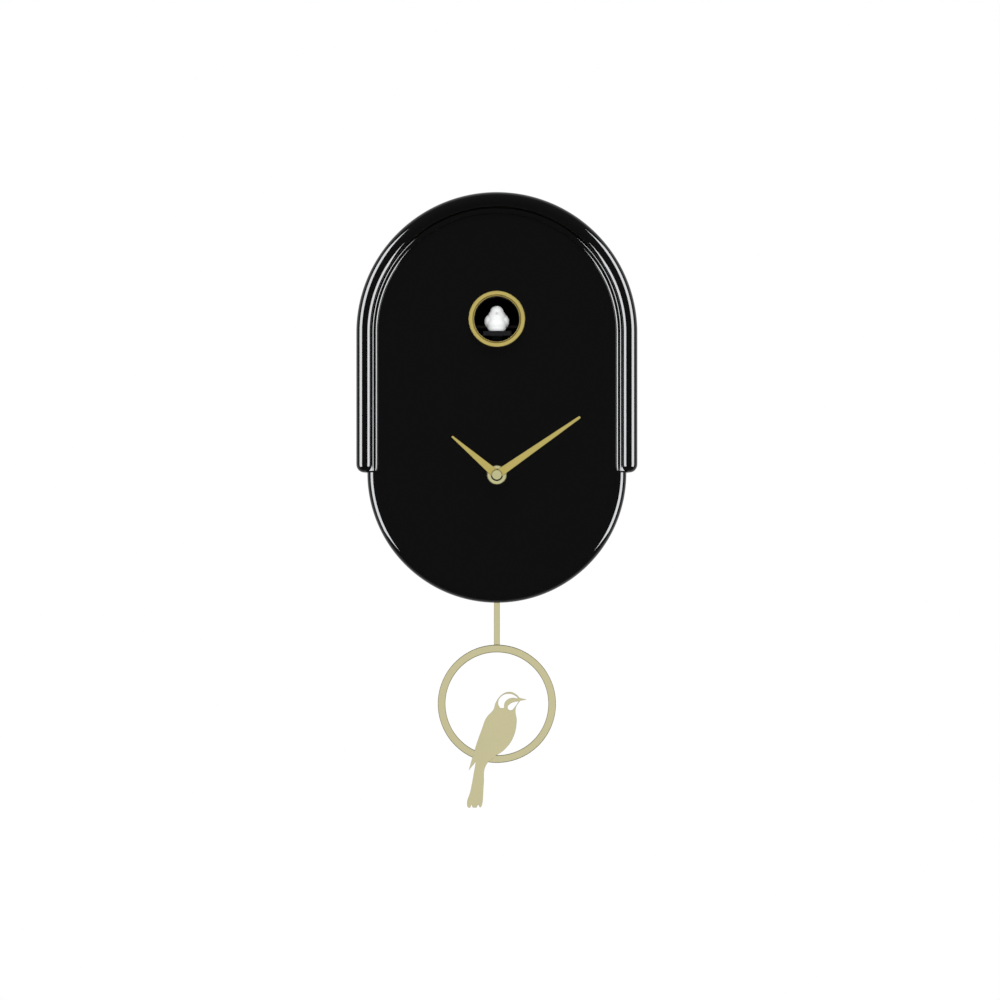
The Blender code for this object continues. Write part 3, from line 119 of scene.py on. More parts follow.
# Back
COVER = 3.0
COVER_EDGE = 0.3
DOOR_CORNER, DOOR_CORNER_STEPS = 3.0, 8
DOOR_EDGE = 0.15
DOOR_GAP = 0.3
NOTCH_RADIUS = 5.0
GRIP_GROOVES, GRIP_PITCH, GRIP_RISE = 3, 2.2, 8.0
GRIP_HALF_WIDTH, GRIP_HALF_HEIGHT, GRIP_DEPTH = 7, 0.5, 0.5
KEYHOLE_Z = 172.0
KEYHOLE_RADIUS, KEYHOLE_SLOT, KEYHOLE_RISE = 4.5, 2.2, 10.0
SLIDER_SLOT = (7, 2.2)  # half sizes
SCREW_HOLE = 3.3
SCREW_HEAD, SCREW_SHANK, SCREW_HEAD_DEPTH = 3.0, 1.3, 1.2
CROSS_HALF_LENGTH, CROSS_HALF_WIDTH, CROSS_DEPTH = 1.9, 0.4, 0.8
GRILLE_RADIUS, GRILLE_PITCH, GRILLE_HALF = 20.5, 7.5, 1.2

# Studio, in metres
SIDE_DEGREES, SIDE_DISTANCE, SIDE_Z = 54, 1.6, 0.30
ROOM_STRENGTH, SWEEP_STRENGTH = 0.09, 0.8
LENS, SENSOR = 123.5, 36  # in millimetres
CAMERA_PLACE = (0.0023, -2.572, -0.0183)

# Floor, in millimetres
FLOOR_HALF, FLOOR_CORNER = 350, 20
FLOOR_BOTTOM, FLOOR_TOP = -456, -450


# Outlines


def arc(u, v, radius, start, end, steps):
    """Points along an arc, from start to end in degrees."""
    turns = [math.radians(start + (end - start) * i / steps) for i in range(steps + 1)]
    return [(u + radius * math.cos(turn), v + radius * math.sin(turn)) for turn in turns]


def circle(u, v, radius, sides=48):
    return arc(u, v, radius, 0, 360 - 360 / sides, sides - 1)


def filleted(corners, steps=5):
    """A closed outline whose (u, v, radius) corners are rounded."""
    outline = []
    for i, (u, v, radius) in enumerate(corners):
        here = Vector((u, v))
        before = (Vector(corners[i - 1][:2]) - here).normalized()
        after = (Vector(corners[(i + 1) % len(corners)][:2]) - here).normalized()
        if not radius:
            outline.append((u, v))
            continue
        half = before.angle(after) / 2
        centre = here + (before + after).normalized() * radius / math.sin(half)
        start = here + before * radius / math.tan(half) - centre
        end = here + after * radius / math.tan(half) - centre
        for step in range(steps + 1):
            spoke = start.lerp(end, step / steps).normalized() * radius
            outline.append(tuple(centre + spoke))
    return outline


def rectangle(low_u, high_u, low_v, high_v, radius, steps=8):
    corners = ((high_u, high_v), (low_u, high_v), (low_u, low_v), (high_u, low_v))
    return filleted([(u, v, radius) for u, v in corners], steps)


def stadium(half_width, steps=CASE_STEPS):
    upper = arc(0, UPPER_ARC_Z, half_width, 0, 180, steps)
    return upper + arc(0, LOWER_ARC_Z, half_width, 180, 360, steps)


# Meshes


def finished(name, shape):
    """An object from a bmesh drawn in millimetres, shaded smooth up to the sharp angle."""
    bmesh.ops.remove_doubles(shape, verts=shape.verts, dist=1e-4)
    bmesh.ops.recalc_face_normals(shape, faces=shape.faces)
    bmesh.ops.scale(shape, vec=(MM, MM, MM), verts=shape.verts)
    mesh = bpy.data.meshes.new(name)
    shape.to_mesh(mesh)
    shape.free()
    mesh.shade_smooth()
    mesh.set_sharp_from_angle(angle=math.radians(SHARP))
    obj = bpy.data.objects.new(name, mesh)
    bpy.context.scene.collection.objects.link(obj)
    return obj


def skinned(name, rings, capped=False, looped=False):
    """A mesh through rings that have the same number of points."""
    shape = bmesh.new()
    loops = [[shape.verts.new(point) for point in ring] for ring in rings]
    pairs = list(zip(loops, loops[1:]))
    if looped:
        pairs.append((loops[-1], loops[0]))
    for near, far in pairs:
        for i, corner in enumerate(near):
            j = (i + 1) % len(near)
            shape.faces.new((corner, near[j], far[j], far[i]))
    if capped:
        shape.faces.new(loops[0])
        shape.faces.new(loops[-1])
    return finished(name, shape)


def turned(name, profile, centre, sides=96):
    """A piece turned about Y from (radius, y) points."""
    rings = []
    for side in range(sides):
        turn = math.tau * side / sides
        x, z = math.cos(turn), math.sin(turn)
        rings.append([(centre[0] + radius * x, y, centre[1] + radius * z) for radius, y in profile])
    return skinned(name, rings, looped=True)


def settled(obj):
    """The object with its modifiers or curve made into a mesh."""
    name = obj.name
    bpy.context.view_layer.update()
    graph = bpy.context.evaluated_depsgraph_get()
    mesh = bpy.data.meshes.new_from_object(obj.evaluated_get(graph))
    matrix = obj.matrix_world.copy()
    bpy.data.objects.remove(obj, do_unlink=True)
    mesh.transform(matrix)
    mesh.name = name
    made = bpy.data.objects.new(name, mesh)
    bpy.context.scene.collection.objects.link(made)
    return made


def drawn(curve, low_y, high_y, edge):
    """A plate from a curve in x and z, filled and extruded, with its rims rounded by edge."""
    curve.dimensions = "2D"
    curve.fill_mode = "BOTH"
    curve.extrude = ((high_y - low_y) / 2 - edge) * MM
    curve.bevel_depth = edge * MM
    curve.bevel_resolution = 2
    curve.offset = -edge * MM
    obj = bpy.data.objects.new(curve.name, curve)
    bpy.context.scene.collection.objects.link(obj)
    turn = Matrix.Rotation(math.radians(90), 4, "X")
    obj.matrix_world = Matrix.Translation((0, (low_y + high_y) / 2 * MM, 0)) @ turn
    made = settled(obj)
    shape = bmesh.new()
    shape.from_mesh(made.data)
    bmesh.ops.remove_doubles(shape, verts=shape.verts, dist=0.001 * MM)
    bmesh.ops.recalc_face_normals(shape, faces=shape.faces)
    shape.to_mesh(made.data)
    shape.free()
    return faced(made)


def faced(plate):
    """Shades a plate's faces flat and its rims smooth."""
    plate.data.shade_smooth()
    plate.data.set_sharp_from_angle(angle=math.radians(SHARP))
    for face in plate.data.polygons:
        face.use_smooth = abs(face.normal.y) < 0.99
    return plate


def slab(outline, low_y, high_y):
    """A cutter through the outline in x and z."""
    return skinned("cutter", [[(x, y, z) for x, z in outline] for y in (low_y, high_y)], True)


def wound(outline, hole):
    """The outline in the order that the curve's offset needs: a hole turns the other way."""
    area = sum(a[0] * b[1] - b[0] * a[1] for a, b in zip(outline, outline[1:] + outline[:1]))
    return list(outline) if (area > 0) != hole else list(outline)[::-1]


def plate(name, outlines, low_y, high_y, edge, grooves=()):
    """A flat piece in x and z, the first outline less the others, with soft edges and grooves behind."""
    curve = bpy.data.curves.new(name, "CURVE")
    for number, outline in enumerate(outlines):
        spline = curve.splines.new("POLY")
        spline.points.add(len(outline) - 1)
        for point, (x, z) in zip(spline.points, wound(outline, number > 0)):
            point.co = (x * MM, z * MM, 0, 1)
        spline.use_cyclic_u = True
    flat = drawn(curve, low_y, high_y, edge)
    for groove in grooves:
        flat = combined(flat, slab(groove, high_y - GRIP_DEPTH, high_y + CUT_PAST), "DIFFERENCE")
    return faced(flat)


def combined(obj, tool, operation):
    """The object after a Boolean with the tool, which is used up."""
    modifier = obj.modifiers.new(operation.lower(), "BOOLEAN")
    modifier.operation = operation
    modifier.object = tool
    made = settled(obj)
    made.data.set_sharp_from_angle(angle=math.radians(SHARP))
    bpy.data.objects.remove(tool, do_unlink=True)
    return made


def placed(piece, body, slot, *nodes, finish=None):
    """Gives a piece its finish and its body, and hides the CAD nodes that it stands for."""
    piece.data.materials.clear()
    piece.data.materials.append(MATERIALS[finish or slot])
    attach(piece, body)
    if nodes:
        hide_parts(*nodes)
    return piece


# Finishes


def linked_noise(nodes, links, coordinates, scale, detail, stretch):
    mapping = nodes.new("ShaderNodeMapping")
    mapping.inputs["Scale"].default_value = stretch
    links.new(coordinates, mapping.inputs["Vector"])
    noise = nodes.new("ShaderNodeTexNoise")
    noise.inputs["Scale"].default_value = scale
    noise.inputs["Detail"].default_value = detail
    links.new(mapping.outputs["Vector"], noise.inputs["Vector"])
    return noise.outputs["Fac"]


def surface(
    name, colour, rough, metallic=0.0, tint=0.08,
    scale=90, grain=900, bump=0.0, stretch=(1, 1, 1), **sockets
):
    """A finish whose tone, gloss and relief vary: rough is the lowest and highest roughness."""
    material = bpy.data.materials.new(name)
    material.use_nodes = True
    nodes, links = material.node_tree.nodes, material.node_tree.links
    shader = nodes["Principled BSDF"]
    shader.inputs["Metallic"].default_value = metallic
    for socket, value in sockets.items():
        shader.inputs[socket.replace("_", " ")].default_value = value
    coordinates = nodes.new("ShaderNodeTexCoord").outputs["Object"]
    patch = linked_noise(nodes, links, coordinates, scale, 3, stretch)
    fine = linked_noise(nodes, links, coordinates, grain, 4, stretch)
    tone = nodes.new("ShaderNodeMix")
    tone.data_type = "RGBA"
    links.new(patch, tone.inputs["Factor"])
    tone.inputs["A"].default_value = (*[value * (1 - tint) for value in colour], 1)
    tone.inputs["B"].default_value = (*[min(1, value * (1 + tint)) for value in colour], 1)
    links.new(tone.outputs["Result"], shader.inputs["Base Color"])
    gloss = nodes.new("ShaderNodeMapRange")
    gloss.inputs["From Min"].default_value = 0.3
    gloss.inputs["From Max"].default_value = 0.7
    gloss.inputs["To Min"].default_value = rough[0]
    gloss.inputs["To Max"].default_value = rough[1]
    links.new(fine, gloss.inputs["Value"])
    links.new(gloss.outputs["Result"], shader.inputs["Roughness"])
    if bump:
        relief = nodes.new("ShaderNodeBump")
        relief.inputs["Strength"].default_value = bump
        relief.inputs["Distance"].default_value = 0.05 * MM
        links.new(fine, relief.inputs["Height"])
        links.new(relief.outputs["Normal"], shader.inputs["Normal"])
    return material


FINISHES = {
    "black_lacquer": dict(
        colour=(0.0045, 0.0045, 0.005), rough=(0.03, 0.05), IOR=1.62, bump=0.002, grain=60
    ),
    "black_plastic": dict(colour=(0.010, 0.010, 0.011), rough=(0.42, 0.55), bump=0.5, grain=2600),
    "grey_plastic": dict(colour=(0.42, 0.42, 0.40), rough=(0.42, 0.58), bump=0.4, grain=2400),
    "white_plastic": dict(colour=(0.86, 0.86, 0.85), rough=(0.38, 0.50), tint=0.03, bump=0.1, grain=1500),
    "gear_plastic": dict(colour=(0.80, 0.78, 0.70), rough=(0.38, 0.50), tint=0.04, bump=0.2),
    "polished_brass": dict(
        colour=(0.58, 0.53, 0.31), rough=(0.13, 0.17), metallic=1.0, tint=0.05,
        bump=0.004, scale=25, grain=300,
    ),
    "satin_brass": dict(
        colour=(0.60, 0.49, 0.15), rough=(0.34, 0.42), metallic=1.0, tint=0.07, bump=0.03, scale=60
    ),
    "turned_brass": dict(colour=(0.54, 0.51, 0.27), rough=(0.20, 0.26), metallic=1.0, tint=0.06, bump=0.02),
    "steel": dict(colour=(0.55, 0.55, 0.56), rough=(0.25, 0.38), metallic=1.0, bump=0.1, stretch=(1, 1, 6)),
    "copper": dict(
        colour=(0.60, 0.27, 0.13), rough=(0.30, 0.42), metallic=1.0, bump=0.8, grain=3000, stretch=(1, 1, 8)
    ),
    "board_green": dict(colour=(0.03, 0.16, 0.06), rough=(0.38, 0.55), tint=0.25, bump=0.3),
    "rubber": dict(colour=(0.02, 0.02, 0.02), rough=(0.75, 0.92), bump=0.5),
    "paper": dict(colour=(0.05, 0.05, 0.05), rough=(0.85, 0.95), tint=0.2, bump=1.0, grain=2200),
    "magnet": dict(colour=(0.08, 0.08, 0.09), rough=(0.45, 0.60), metallic=0.2, bump=0.3),
    "cell_wrap": dict(colour=(0.05, 0.10, 0.30), rough=(0.28, 0.38), metallic=0.1, tint=0.15, bump=0.1),
}
MATERIALS = {name: surface(name, **finish) for name, finish in FINISHES.items()}


# Case


def case_ring(half_width, y):
    return [(x, y, z) for x, z in stadium(half_width)]


def make_front_shell():
    """A thin-walled stadium with a round front edge and its three openings."""
    inner = HALF_WIDTH - WALL
    inside_y = DIAL_Y + WALL
    inner_radius = EDGE_RADIUS - WALL
    profile = arc(inner - inner_radius, inside_y + inner_radius, inner_radius, -90, 0, 6)
    profile += [(inner, -RIM_CHAMFER), (inner + RIM_CHAMFER, 0.0)]
    profile += [(HALF_WIDTH - RIM_CHAMFER, 0.0), (HALF_WIDTH, -RIM_CHAMFER)]
    profile += arc(HALF_WIDTH - EDGE_RADIUS, DIAL_Y + EDGE_RADIUS, EDGE_RADIUS, 0, -90, 20)
    profile.append((HALF_WIDTH - EDGE_RADIUS - FACE_INSET, DIAL_Y))
    shell = skinned("front_shell_smooth", [case_ring(*spot) for spot in profile], capped=True)
    window = circle(0, WINDOW_Z, TUNNEL_INNER + TUNNEL_WALL + TUNNEL_ROOM, 96)
    for outline in (window, circle(0, 0, TUBE_HOLE)):
        cutter = slab(outline, DIAL_Y - CUT_PAST, inside_y + CUT_PAST)
        shell = combined(shell, cutter, "DIFFERENCE")
    middle_y = (PENDULUM[2] + PENDULUM[3]) / 2 + SLOT_BACK
    low_y, high_y = middle_y - SLOT_HALF_DEPTH, middle_y + SLOT_HALF_DEPTH
    slot = rectangle(-SLOT_HALF_WIDTH, SLOT_HALF_WIDTH, low_y, high_y, SLOT_CORNER, 5)
    low_z = SHELL[4]
    rings = [[(x, y, z) for x, y in slot] for z in (low_z - CUT_PAST, low_z + WALL + 2 * CUT_PAST)]
    shell = combined(shell, skinned("cutter", rings, True), "DIFFERENCE")
    placed(shell, "case", "black_lacquer", "front_shell")


def hood_section():
    """The hood's cut face as (radius, y, spine radius, spine y); the spine is where its end closes in."""
    bead = (HOOD[1] - BEAD_RADIUS, HOOD[2] + BEAD_RADIUS)
    small = (HOOD[1] - SMALL_BEAD_IN, DIAL_Y + SMALL_BEAD_SINK)
    section = [(HOOD[1] - HOOD_CHAMFER, 0.0, bead[0], 0.0)]
    section.append((HOOD[1], -HOOD_CHAMFER, bead[0], -HOOD_CHAMFER))
    for y in (-20, -40, -60):
        section.append((HOOD[1], y, bead[0], y))
    section += [(*point, *bead) for point in arc(*bead, BEAD_RADIUS, 0, BEAD_END, 40)]
    foot = DIAL_Y - HOOD_ROOM
    sink = math.degrees(math.asin((small[1] - foot) / SMALL_BEAD_RADIUS))
    for point in arc(*small, SMALL_BEAD_RADIUS, SMALL_BEAD_START, -180 + sink, 20):
        section.append((*point, small[0], foot))
    edge_centre = (HALF_WIDTH - EDGE_RADIUS, DIAL_Y + EDGE_RADIUS)
    for point in arc(*edge_centre, EDGE_RADIUS + HOOD_ROOM, -90, 0, 10):
        section.append((*point, *point))
    section.append((HOOD_INNER, 0.0, HOOD_INNER, 0.0))
    return section


def hood_ring(section, pocket_y, close):
    """The section with its pocket that deep, drawn in to its spine by close, from 0 to 1."""
    ring = []
    for radius, y, spine_radius, spine_y in section:
        ring.append((radius + (spine_radius - radius) * close, y + (spine_y - y) * close))
    inner, outer = HOOD_INNER + POCKET_WALL, HOOD[1] - POCKET_WALL
    outer = max(inner + POCKET_LEAST, outer - (outer - inner) * close)
    pocket = [(inner, 0.0), (inner, pocket_y), (outer, pocket_y), (outer, 0.0)]
    return ring + pocket


def make_hood():
    """Sweeps the section up one side, round the top and down the other, with round ends."""
    section = hood_section()
    rings = []
    for step in range(END_STEPS + 1):
        turn = math.radians(90 * step / END_STEPS)
        z = HOOD[4] + BEAD_RADIUS * (1 - math.cos(turn))
        rings.append((hood_ring(section, -0.1, END_CLOSE * (1 - math.sin(turn))), z))
    rings.append((hood_ring(section, -0.1, 0.0), rings[-1][1] + 0.3))
    rings.append((hood_ring(section, -POCKET_DEPTH, 0.0), rings[-1][1] + 0.05))
    up = [[(radius, y, z) for radius, y in ring] for ring, z in rings]
    over = []
    for step in range(CASE_STEPS + 1):
        turn = math.pi * step / CASE_STEPS
        x, z = math.cos(turn), math.sin(turn)
        over.append([(radius * x, y, UPPER_ARC_Z + radius * z) for radius, y in rings[-1][0]])
    down = [[(-x, y, z) for x, y, z in ring] for ring in reversed(up)]
    hood = skinned("hood_smooth", up + over + down, capped=True)
    placed(hood, "case", "black_lacquer", "hood")


def make_window():
    """The brass ring with its fine groove, and the tunnel behind it that the bird comes out of."""
    front, back = WINDOW[2], WINDOW[3]
    outer = WINDOW[1]
    ring = filleted(
        [
            (outer, back, 0.1),
            (outer, front + 0.35, 0.2),
            (outer - 0.35, front, 0.2),
            (RING_INNER + 1.1, front, 0.1),
            (RING_INNER + 0.8, front + 0.9, 0.05),
            (RING_INNER + 0.5, front + 0.1, 0.1),
            (RING_INNER + 0.25, front + 0.1, 0.1),
            (RING_INNER, front + 0.6, 0.15),
            (RING_INNER, back, 0.1),
        ]
    )
    ring = turned("window_ring_smooth", ring, (0, WINDOW_Z), 128)
    placed(ring, "case", "polished_brass", "window_ring", finish="satin_brass")
    depth = extent("window_tunnel")
    outer = TUNNEL_INNER + TUNNEL_WALL
    flange_y = DIAL_Y + WALL + TUNNEL_ROOM
    tunnel = filleted(
        [
            (TUNNEL_INNER, depth[2], 0.4),
            (outer, depth[2], 0.4),
            (outer, flange_y, 0),
            (depth[1], flange_y, 0.3),
            (depth[1], flange_y + TUNNEL_WALL, 0.3),
            (outer, flange_y + TUNNEL_WALL, 0.5),
            (outer, depth[3], 0.3),
            (TUNNEL_INNER, depth[3], 0.3),
        ]
    )
    placed(turned("window_tunnel_smooth", tunnel, (0, WINDOW_Z)), "case", "black_plastic", "window_tunnel")


# Hands


def make_hand(name, size):
    """A round boss that runs into a long taper with a blunt tip, cut flat from sheet brass."""
    length, root, tip, degrees = size
    low_y, high_y = extent(name)[2:4]
    start = math.degrees(math.asin(root / HAND_BOSS))
    outline = arc(0, 0, HAND_BOSS, start, 360 - start, 40)
    outline += filleted([(length, -tip, 0.6), (length, tip, 0.6), (0, root, 0)], 4)[:-1]
    turn = math.radians(degrees)
    cos, sin = math.cos(turn), math.sin(turn)
    outline = [(x * cos - z * sin, x * sin + z * cos) for x, z in outline]
    bore = circle(0, 0, HAND_BORES[name], 40)
    hand = plate(f"{name}_smooth", [outline, bore], low_y, high_y, HAND_EDGE)
    placed(hand, name, "satin_brass", name)


def lathe_rings(inner, outer, y, count, deep=0.05):
    """The fine rings that a lathe leaves on a face, as (radius, y, corner radius) from outside in."""
    pitch = (outer - inner) / (2 * count)
    return [(outer - pitch * i, y + deep * (i % 2), 0) for i in range(2 * count + 1)]


def make_hand_nuts():
    """The round nut that holds the movement, and the cap nut on the minute hand."""
    nut = extent("fixing_nut")
    bore = TUBE_HOLE - 0.15
    profile = [
        (bore, nut[3], 0.1),
        (nut[1], nut[3], 0.1),
        (nut[1], nut[2] + 0.5, 0.3),
        (nut[1] - 0.5, nut[2], 0.3),
        *lathe_rings(bore + 0.3, nut[1] - 0.9, nut[2], 5),
        (bore, nut[2] + 0.2, 0),
    ]
    nut = turned("fixing_nut_smooth", filleted(profile), (0, 0))
    placed(nut, "case", "satin_brass", "fixing_nut", finish="turned_brass")
    cap = extent("cap_nut")
    profile = [
        (0, cap[3] - 1.1, 0),
        (1.0, cap[3] - 1.1, 0),
        (1.0, cap[3], 0),
        (cap[1], cap[3], 0.1),
        (cap[1], cap[2] + 0.35, 0.2),
        (cap[1] - 0.35, cap[2], 0.2),
        *lathe_rings(0.25, cap[1] - 0.6, cap[2], 7, 0.06),
        (0, cap[2] + 0.06, 0),
    ]
    cap = turned("cap_nut_smooth", filleted(profile), (0, 0), 72)
    placed(cap, "minute_hand", "satin_brass", "cap_nut", finish="turned_brass")


# Pendulum

# The bird silhouette, about the ring's centre: x, z, and whether it is a sharp corner
BIRD = (
    (16.8, 4.3, True), (21.9, 3.1, True), (17.0, 2.2, True), (13.9, -3.2, False),
    (14.6, -13.3, False), (11.8, -25.2, False), (5.8, -33.5, False), (-2.4, -39.6, False),
    (-8.2, -45.6, False), (-9.7, -59.4, False), (-11.2, -75.1, False), (-12.3, -76.4, True),
    (-13.8, -74.1, True), (-15.0, -76.4, True), (-17.7, -76.4, True), (-18.7, -74.1, True),
    (-19.6, -76.4, True), (-20.9, -76.4, False), (-21.9, -74.6, False), (-19.4, -64.0, False),
    (-16.6, -49.0, False), (-15.5, -42.6, True), (-20.8, -49.2, True), (-17.7, -38.6, False),
    (-15.0, -29.7, False), (-10.9, -18.2, False), (-7.9, -10.6, False), (-2.4, -4.0, False),
    (-1.0, 0.4, False), (3.3, 6.4, False), (9.0, 8.75, False), (13.9, 7.1, False),
)
CRESCENT = (
    (0.9, 0.6, False), (3.3, 5.5, False), (8.9, 7.4, False), (14.2, 5.5, False),
    (15.6, 3.7, True), (11.1, 4.3, False), (6.6, 2.0, False), (5.3, -1.2, False),
    (5.4, -3.2, True), (2.3, -3.2, True),
)
CHEEK_SPOT = (
    (16.2, 2.0, True), (13.4, -2.1, False), (10.1, -4.9, False), (7.9, -2.7, False), (10.6, 0.5, False),
)


def make_pendulum():
    """The ring, the bird silhouette across it, and the strip that they hang on."""
    low_y, high_y = PENDULUM[2], PENDULUM[3]
    outer = PENDULUM[1]
    corners = ((outer, high_y), (outer, low_y), (BAND_INNER, low_y), (BAND_INNER, high_y))
    profile = filleted([(*corner, BAND_ROUNDING) for corner in corners], 6)
    band = turned("pendulum_band_smooth", profile, (0, PENDULUM_Z), 192)
    placed(band, "pendulum", "polished_brass", "pendulum_ring")
    curve = bpy.data.curves.new("pendulum_bird_smooth", "CURVE")
    curve.resolution_u = 10
    for number, outline in enumerate((BIRD, CRESCENT, CHEEK_SPOT)):
        spline = curve.splines.new("BEZIER")
        spline.bezier_points.add(len(outline) - 1)
        for point, (x, z, sharp) in zip(spline.bezier_points, wound(outline, number > 0)):
            point.co = (x * MM, (PENDULUM_Z + z) * MM, 0)
            point.handle_left_type = "VECTOR" if sharp else "AUTO"
            point.handle_right_type = "VECTOR" if sharp else "AUTO"
        spline.use_cyclic_u = True
    bird = drawn(curve, low_y - BIRD_PROUD, high_y + BIRD_PROUD, BIRD_EDGE)
    placed(bird, "pendulum", "polished_brass", "pendulum_ring")
    rod = extent("pendulum_rod")
    outline = rectangle(rod[0], rod[1], rod[4], rod[5], 0.4, 4)
    strip = plate("pendulum_rod_smooth", [outline], rod[2], rod[3], ROD_EDGE)
    placed(strip, "pendulum", "polished_brass", "pendulum_rod")


# Cuckoo bird: each lump's middle and half sizes, about the bird's foot, and its tilt in degrees
LUMPS = (
    ((0, -0.4, 5.4), (7.6, 7.6, 6.8), 0),
    ((0, -0.6, 2.6), (6.9, 6.8, 4.2), 0),
    ((0, -0.6, 9.4), (7.0, 6.6, 6.8), 0),
    ((0, -1.2, 13.7), (5.0, 5.2, 4.9), 0),
    ((-5.2, 1.4, 7.1), (3.95, 6.2, 5.0), -14),
    ((5.2, 1.4, 7.1), (3.95, 6.2, 5.0), -14),
    ((0, 6.4, 8.6), (3.4, 3.0, 1.9), -30),
)
BEAK_ROOT, BEAK_TIP, BEAK_LENGTH, BEAK_TILT = 1.6, 0.5, 3.6, 98
BEAK_PLACE = Vector((0, -6.2, 12.6))
VOXEL = 0.32


def make_cuckoo_bird():
    """A plump bird cast in one piece: lumps fused and smoothed, its foot cut flat."""
    bird = extent("cuckoo_bird")
    foot = Vector((0, (bird[2] + bird[3]) / 2, bird[4]))
    shape = bmesh.new()
    for middle, half, tilt in LUMPS:
        grown = bmesh.ops.create_uvsphere(shape, u_segments=32, v_segments=20, radius=1.0)["verts"]
        turn = Euler((math.radians(tilt), 0, 0)).to_matrix()
        for corner in grown:
            corner.co = foot + Vector(middle) + turn @ Vector([a * b for a, b in zip(corner.co, half)])
    beak = bmesh.ops.create_cone(
        shape, cap_ends=True, segments=24, radius1=BEAK_ROOT, radius2=BEAK_TIP, depth=BEAK_LENGTH
    )
    reach = Matrix.Rotation(math.radians(BEAK_TILT), 3, "X")
    for corner in beak["verts"]:
        corner.co = foot + BEAK_PLACE + reach @ corner.co
    body = finished("cuckoo_bird_smooth", shape)
    remesh = body.modifiers.new("fuse", "REMESH")
    remesh.mode = "VOXEL"
    remesh.voxel_size = VOXEL * MM
    smooth = body.modifiers.new("smooth", "SMOOTH")
    smooth.factor = 0.6
    smooth.iterations = 14
    body = settled(body)
    square = rectangle(-20, 20, foot.y - 20, foot.y + 20, 1.0, 2)
    rings = [[(x, y, z) for x, y in square] for z in (foot.z - 20, foot.z)]
    body = combined(body, skinned("cutter", rings, True), "DIFFERENCE")
    body.data.shade_smooth()
    body.data.set_sharp_from_angle(angle=math.radians(50))
    placed(body, "bird", "white_plastic", "cuckoo_bird")


# Back


def keyhole(z):
    """A round hole for a screw's head with a narrow slot above it."""
    slot = arc(0, z + KEYHOLE_RISE, KEYHOLE_SLOT, 0, 180, 16)
    start = math.degrees(math.acos(KEYHOLE_SLOT / KEYHOLE_RADIUS))
    return slot + arc(0, z, KEYHOLE_RADIUS, 180 - start, 360 + start, 40)


def screw_spots():
    """Each cover screw's number, x and z."""
    for number in range(1, 5):
        low_x, high_x, _, _, low_z, high_z = extent(f"cover_screw_{number}")
        yield number, (low_x + high_x) / 2, (low_z + high_z) / 2


def make_back_cover():
    """The flat cover with its keyhole, two door openings, volume slot, screw holes and grille."""
    cover = extent("back_cover")
    speaker = extent("speaker_basket")
    speaker_x, speaker_z = (speaker[0] + speaker[1]) / 2, (speaker[4] + speaker[5]) / 2
    slider = extent("volume_slider")
    slider_x, slider_z = (slider[0] + slider[1]) / 2, (slider[4] + slider[5]) / 2
    outlines = [stadium(cover[1]), keyhole(KEYHOLE_Z)]
    for door in ("movement_door", "battery_door"):
        low_x, high_x, _, _, low_z, high_z = extent(door)
        gap = DOOR_GAP
        outlines.append(rectangle(low_x - gap, high_x + gap, low_z - gap, high_z + gap, DOOR_CORNER))
    wide, tall = SLIDER_SLOT
    outlines.append(rectangle(slider_x - wide, slider_x + wide, slider_z - tall, slider_z + tall, 1.0))
    outlines += [circle(x, z, SCREW_HOLE, 40) for _, x, z in screw_spots()]
    for row in range(-2, 3):
        reach = math.sqrt(GRILLE_RADIUS**2 - (row * GRILLE_PITCH) ** 2)
        z = speaker_z + row * GRILLE_PITCH
        low_z, high_z = z - GRILLE_HALF, z + GRILLE_HALF
        outlines.append(rectangle(speaker_x - reach, speaker_x + reach, low_z, high_z, 1.1))
    back = plate("back_cover_smooth", outlines, -COVER, 0.0, COVER_EDGE)
    placed(back, "case", "black_plastic", "back_cover")


def make_door(name):
    """A lift-out door with a finger notch and grip grooves above it."""
    low_x, high_x, low_y, high_y, low_z, high_z = extent(name)
    middle = (low_x + high_x) / 2
    outline = rectangle(low_x, high_x, low_z, high_z, DOOR_CORNER, DOOR_CORNER_STEPS)
    after_third = 3 * (DOOR_CORNER_STEPS + 1)
    notch = arc(middle, low_z, NOTCH_RADIUS, 180, 0, 16)
    outline = outline[:after_third] + notch + outline[after_third:]
    grooves = []
    left, right = middle - GRIP_HALF_WIDTH, middle + GRIP_HALF_WIDTH
    for row in range(GRIP_GROOVES):
        z = low_z + GRIP_RISE + GRIP_PITCH * row
        grooves.append(rectangle(left, right, z - GRIP_HALF_HEIGHT, z + GRIP_HALF_HEIGHT, 0.45))
    door = plate(f"{name}_smooth", [outline], low_y, high_y, DOOR_EDGE, grooves)
    placed(door, name, "black_plastic", name)


def make_screws():
    """Domed screws with a cross recess."""
    for number, x, z in screw_spots():
        name = f"cover_screw_{number}"
        low_y, high_y = extent(name)[2:4]
        under_y = high_y - SCREW_HEAD_DEPTH
        profile = filleted(
            [
                (0, high_y, 0),
                (SCREW_HEAD, high_y - 0.2, 0.4),
                (SCREW_HEAD, under_y, 0.2),
                (SCREW_SHANK, under_y, 0),
                (SCREW_SHANK, low_y + 1, 0),
                (0, low_y, 0),
            ]
        )
        screw = turned(f"{name}_smooth", profile, (x, z), 48)
        for wide, tall in ((CROSS_HALF_LENGTH, CROSS_HALF_WIDTH), (CROSS_HALF_WIDTH, CROSS_HALF_LENGTH)):
            outline = rectangle(x - wide, x + wide, z - tall, z + tall, 0.3, 3)
            cutter = slab(outline, high_y - CROSS_DEPTH, high_y + CUT_PAST)
            screw = combined(screw, cutter, "DIFFERENCE")
        placed(screw, "case", "steel", name)


# What is left of the frame keeps its shape and gets its finish


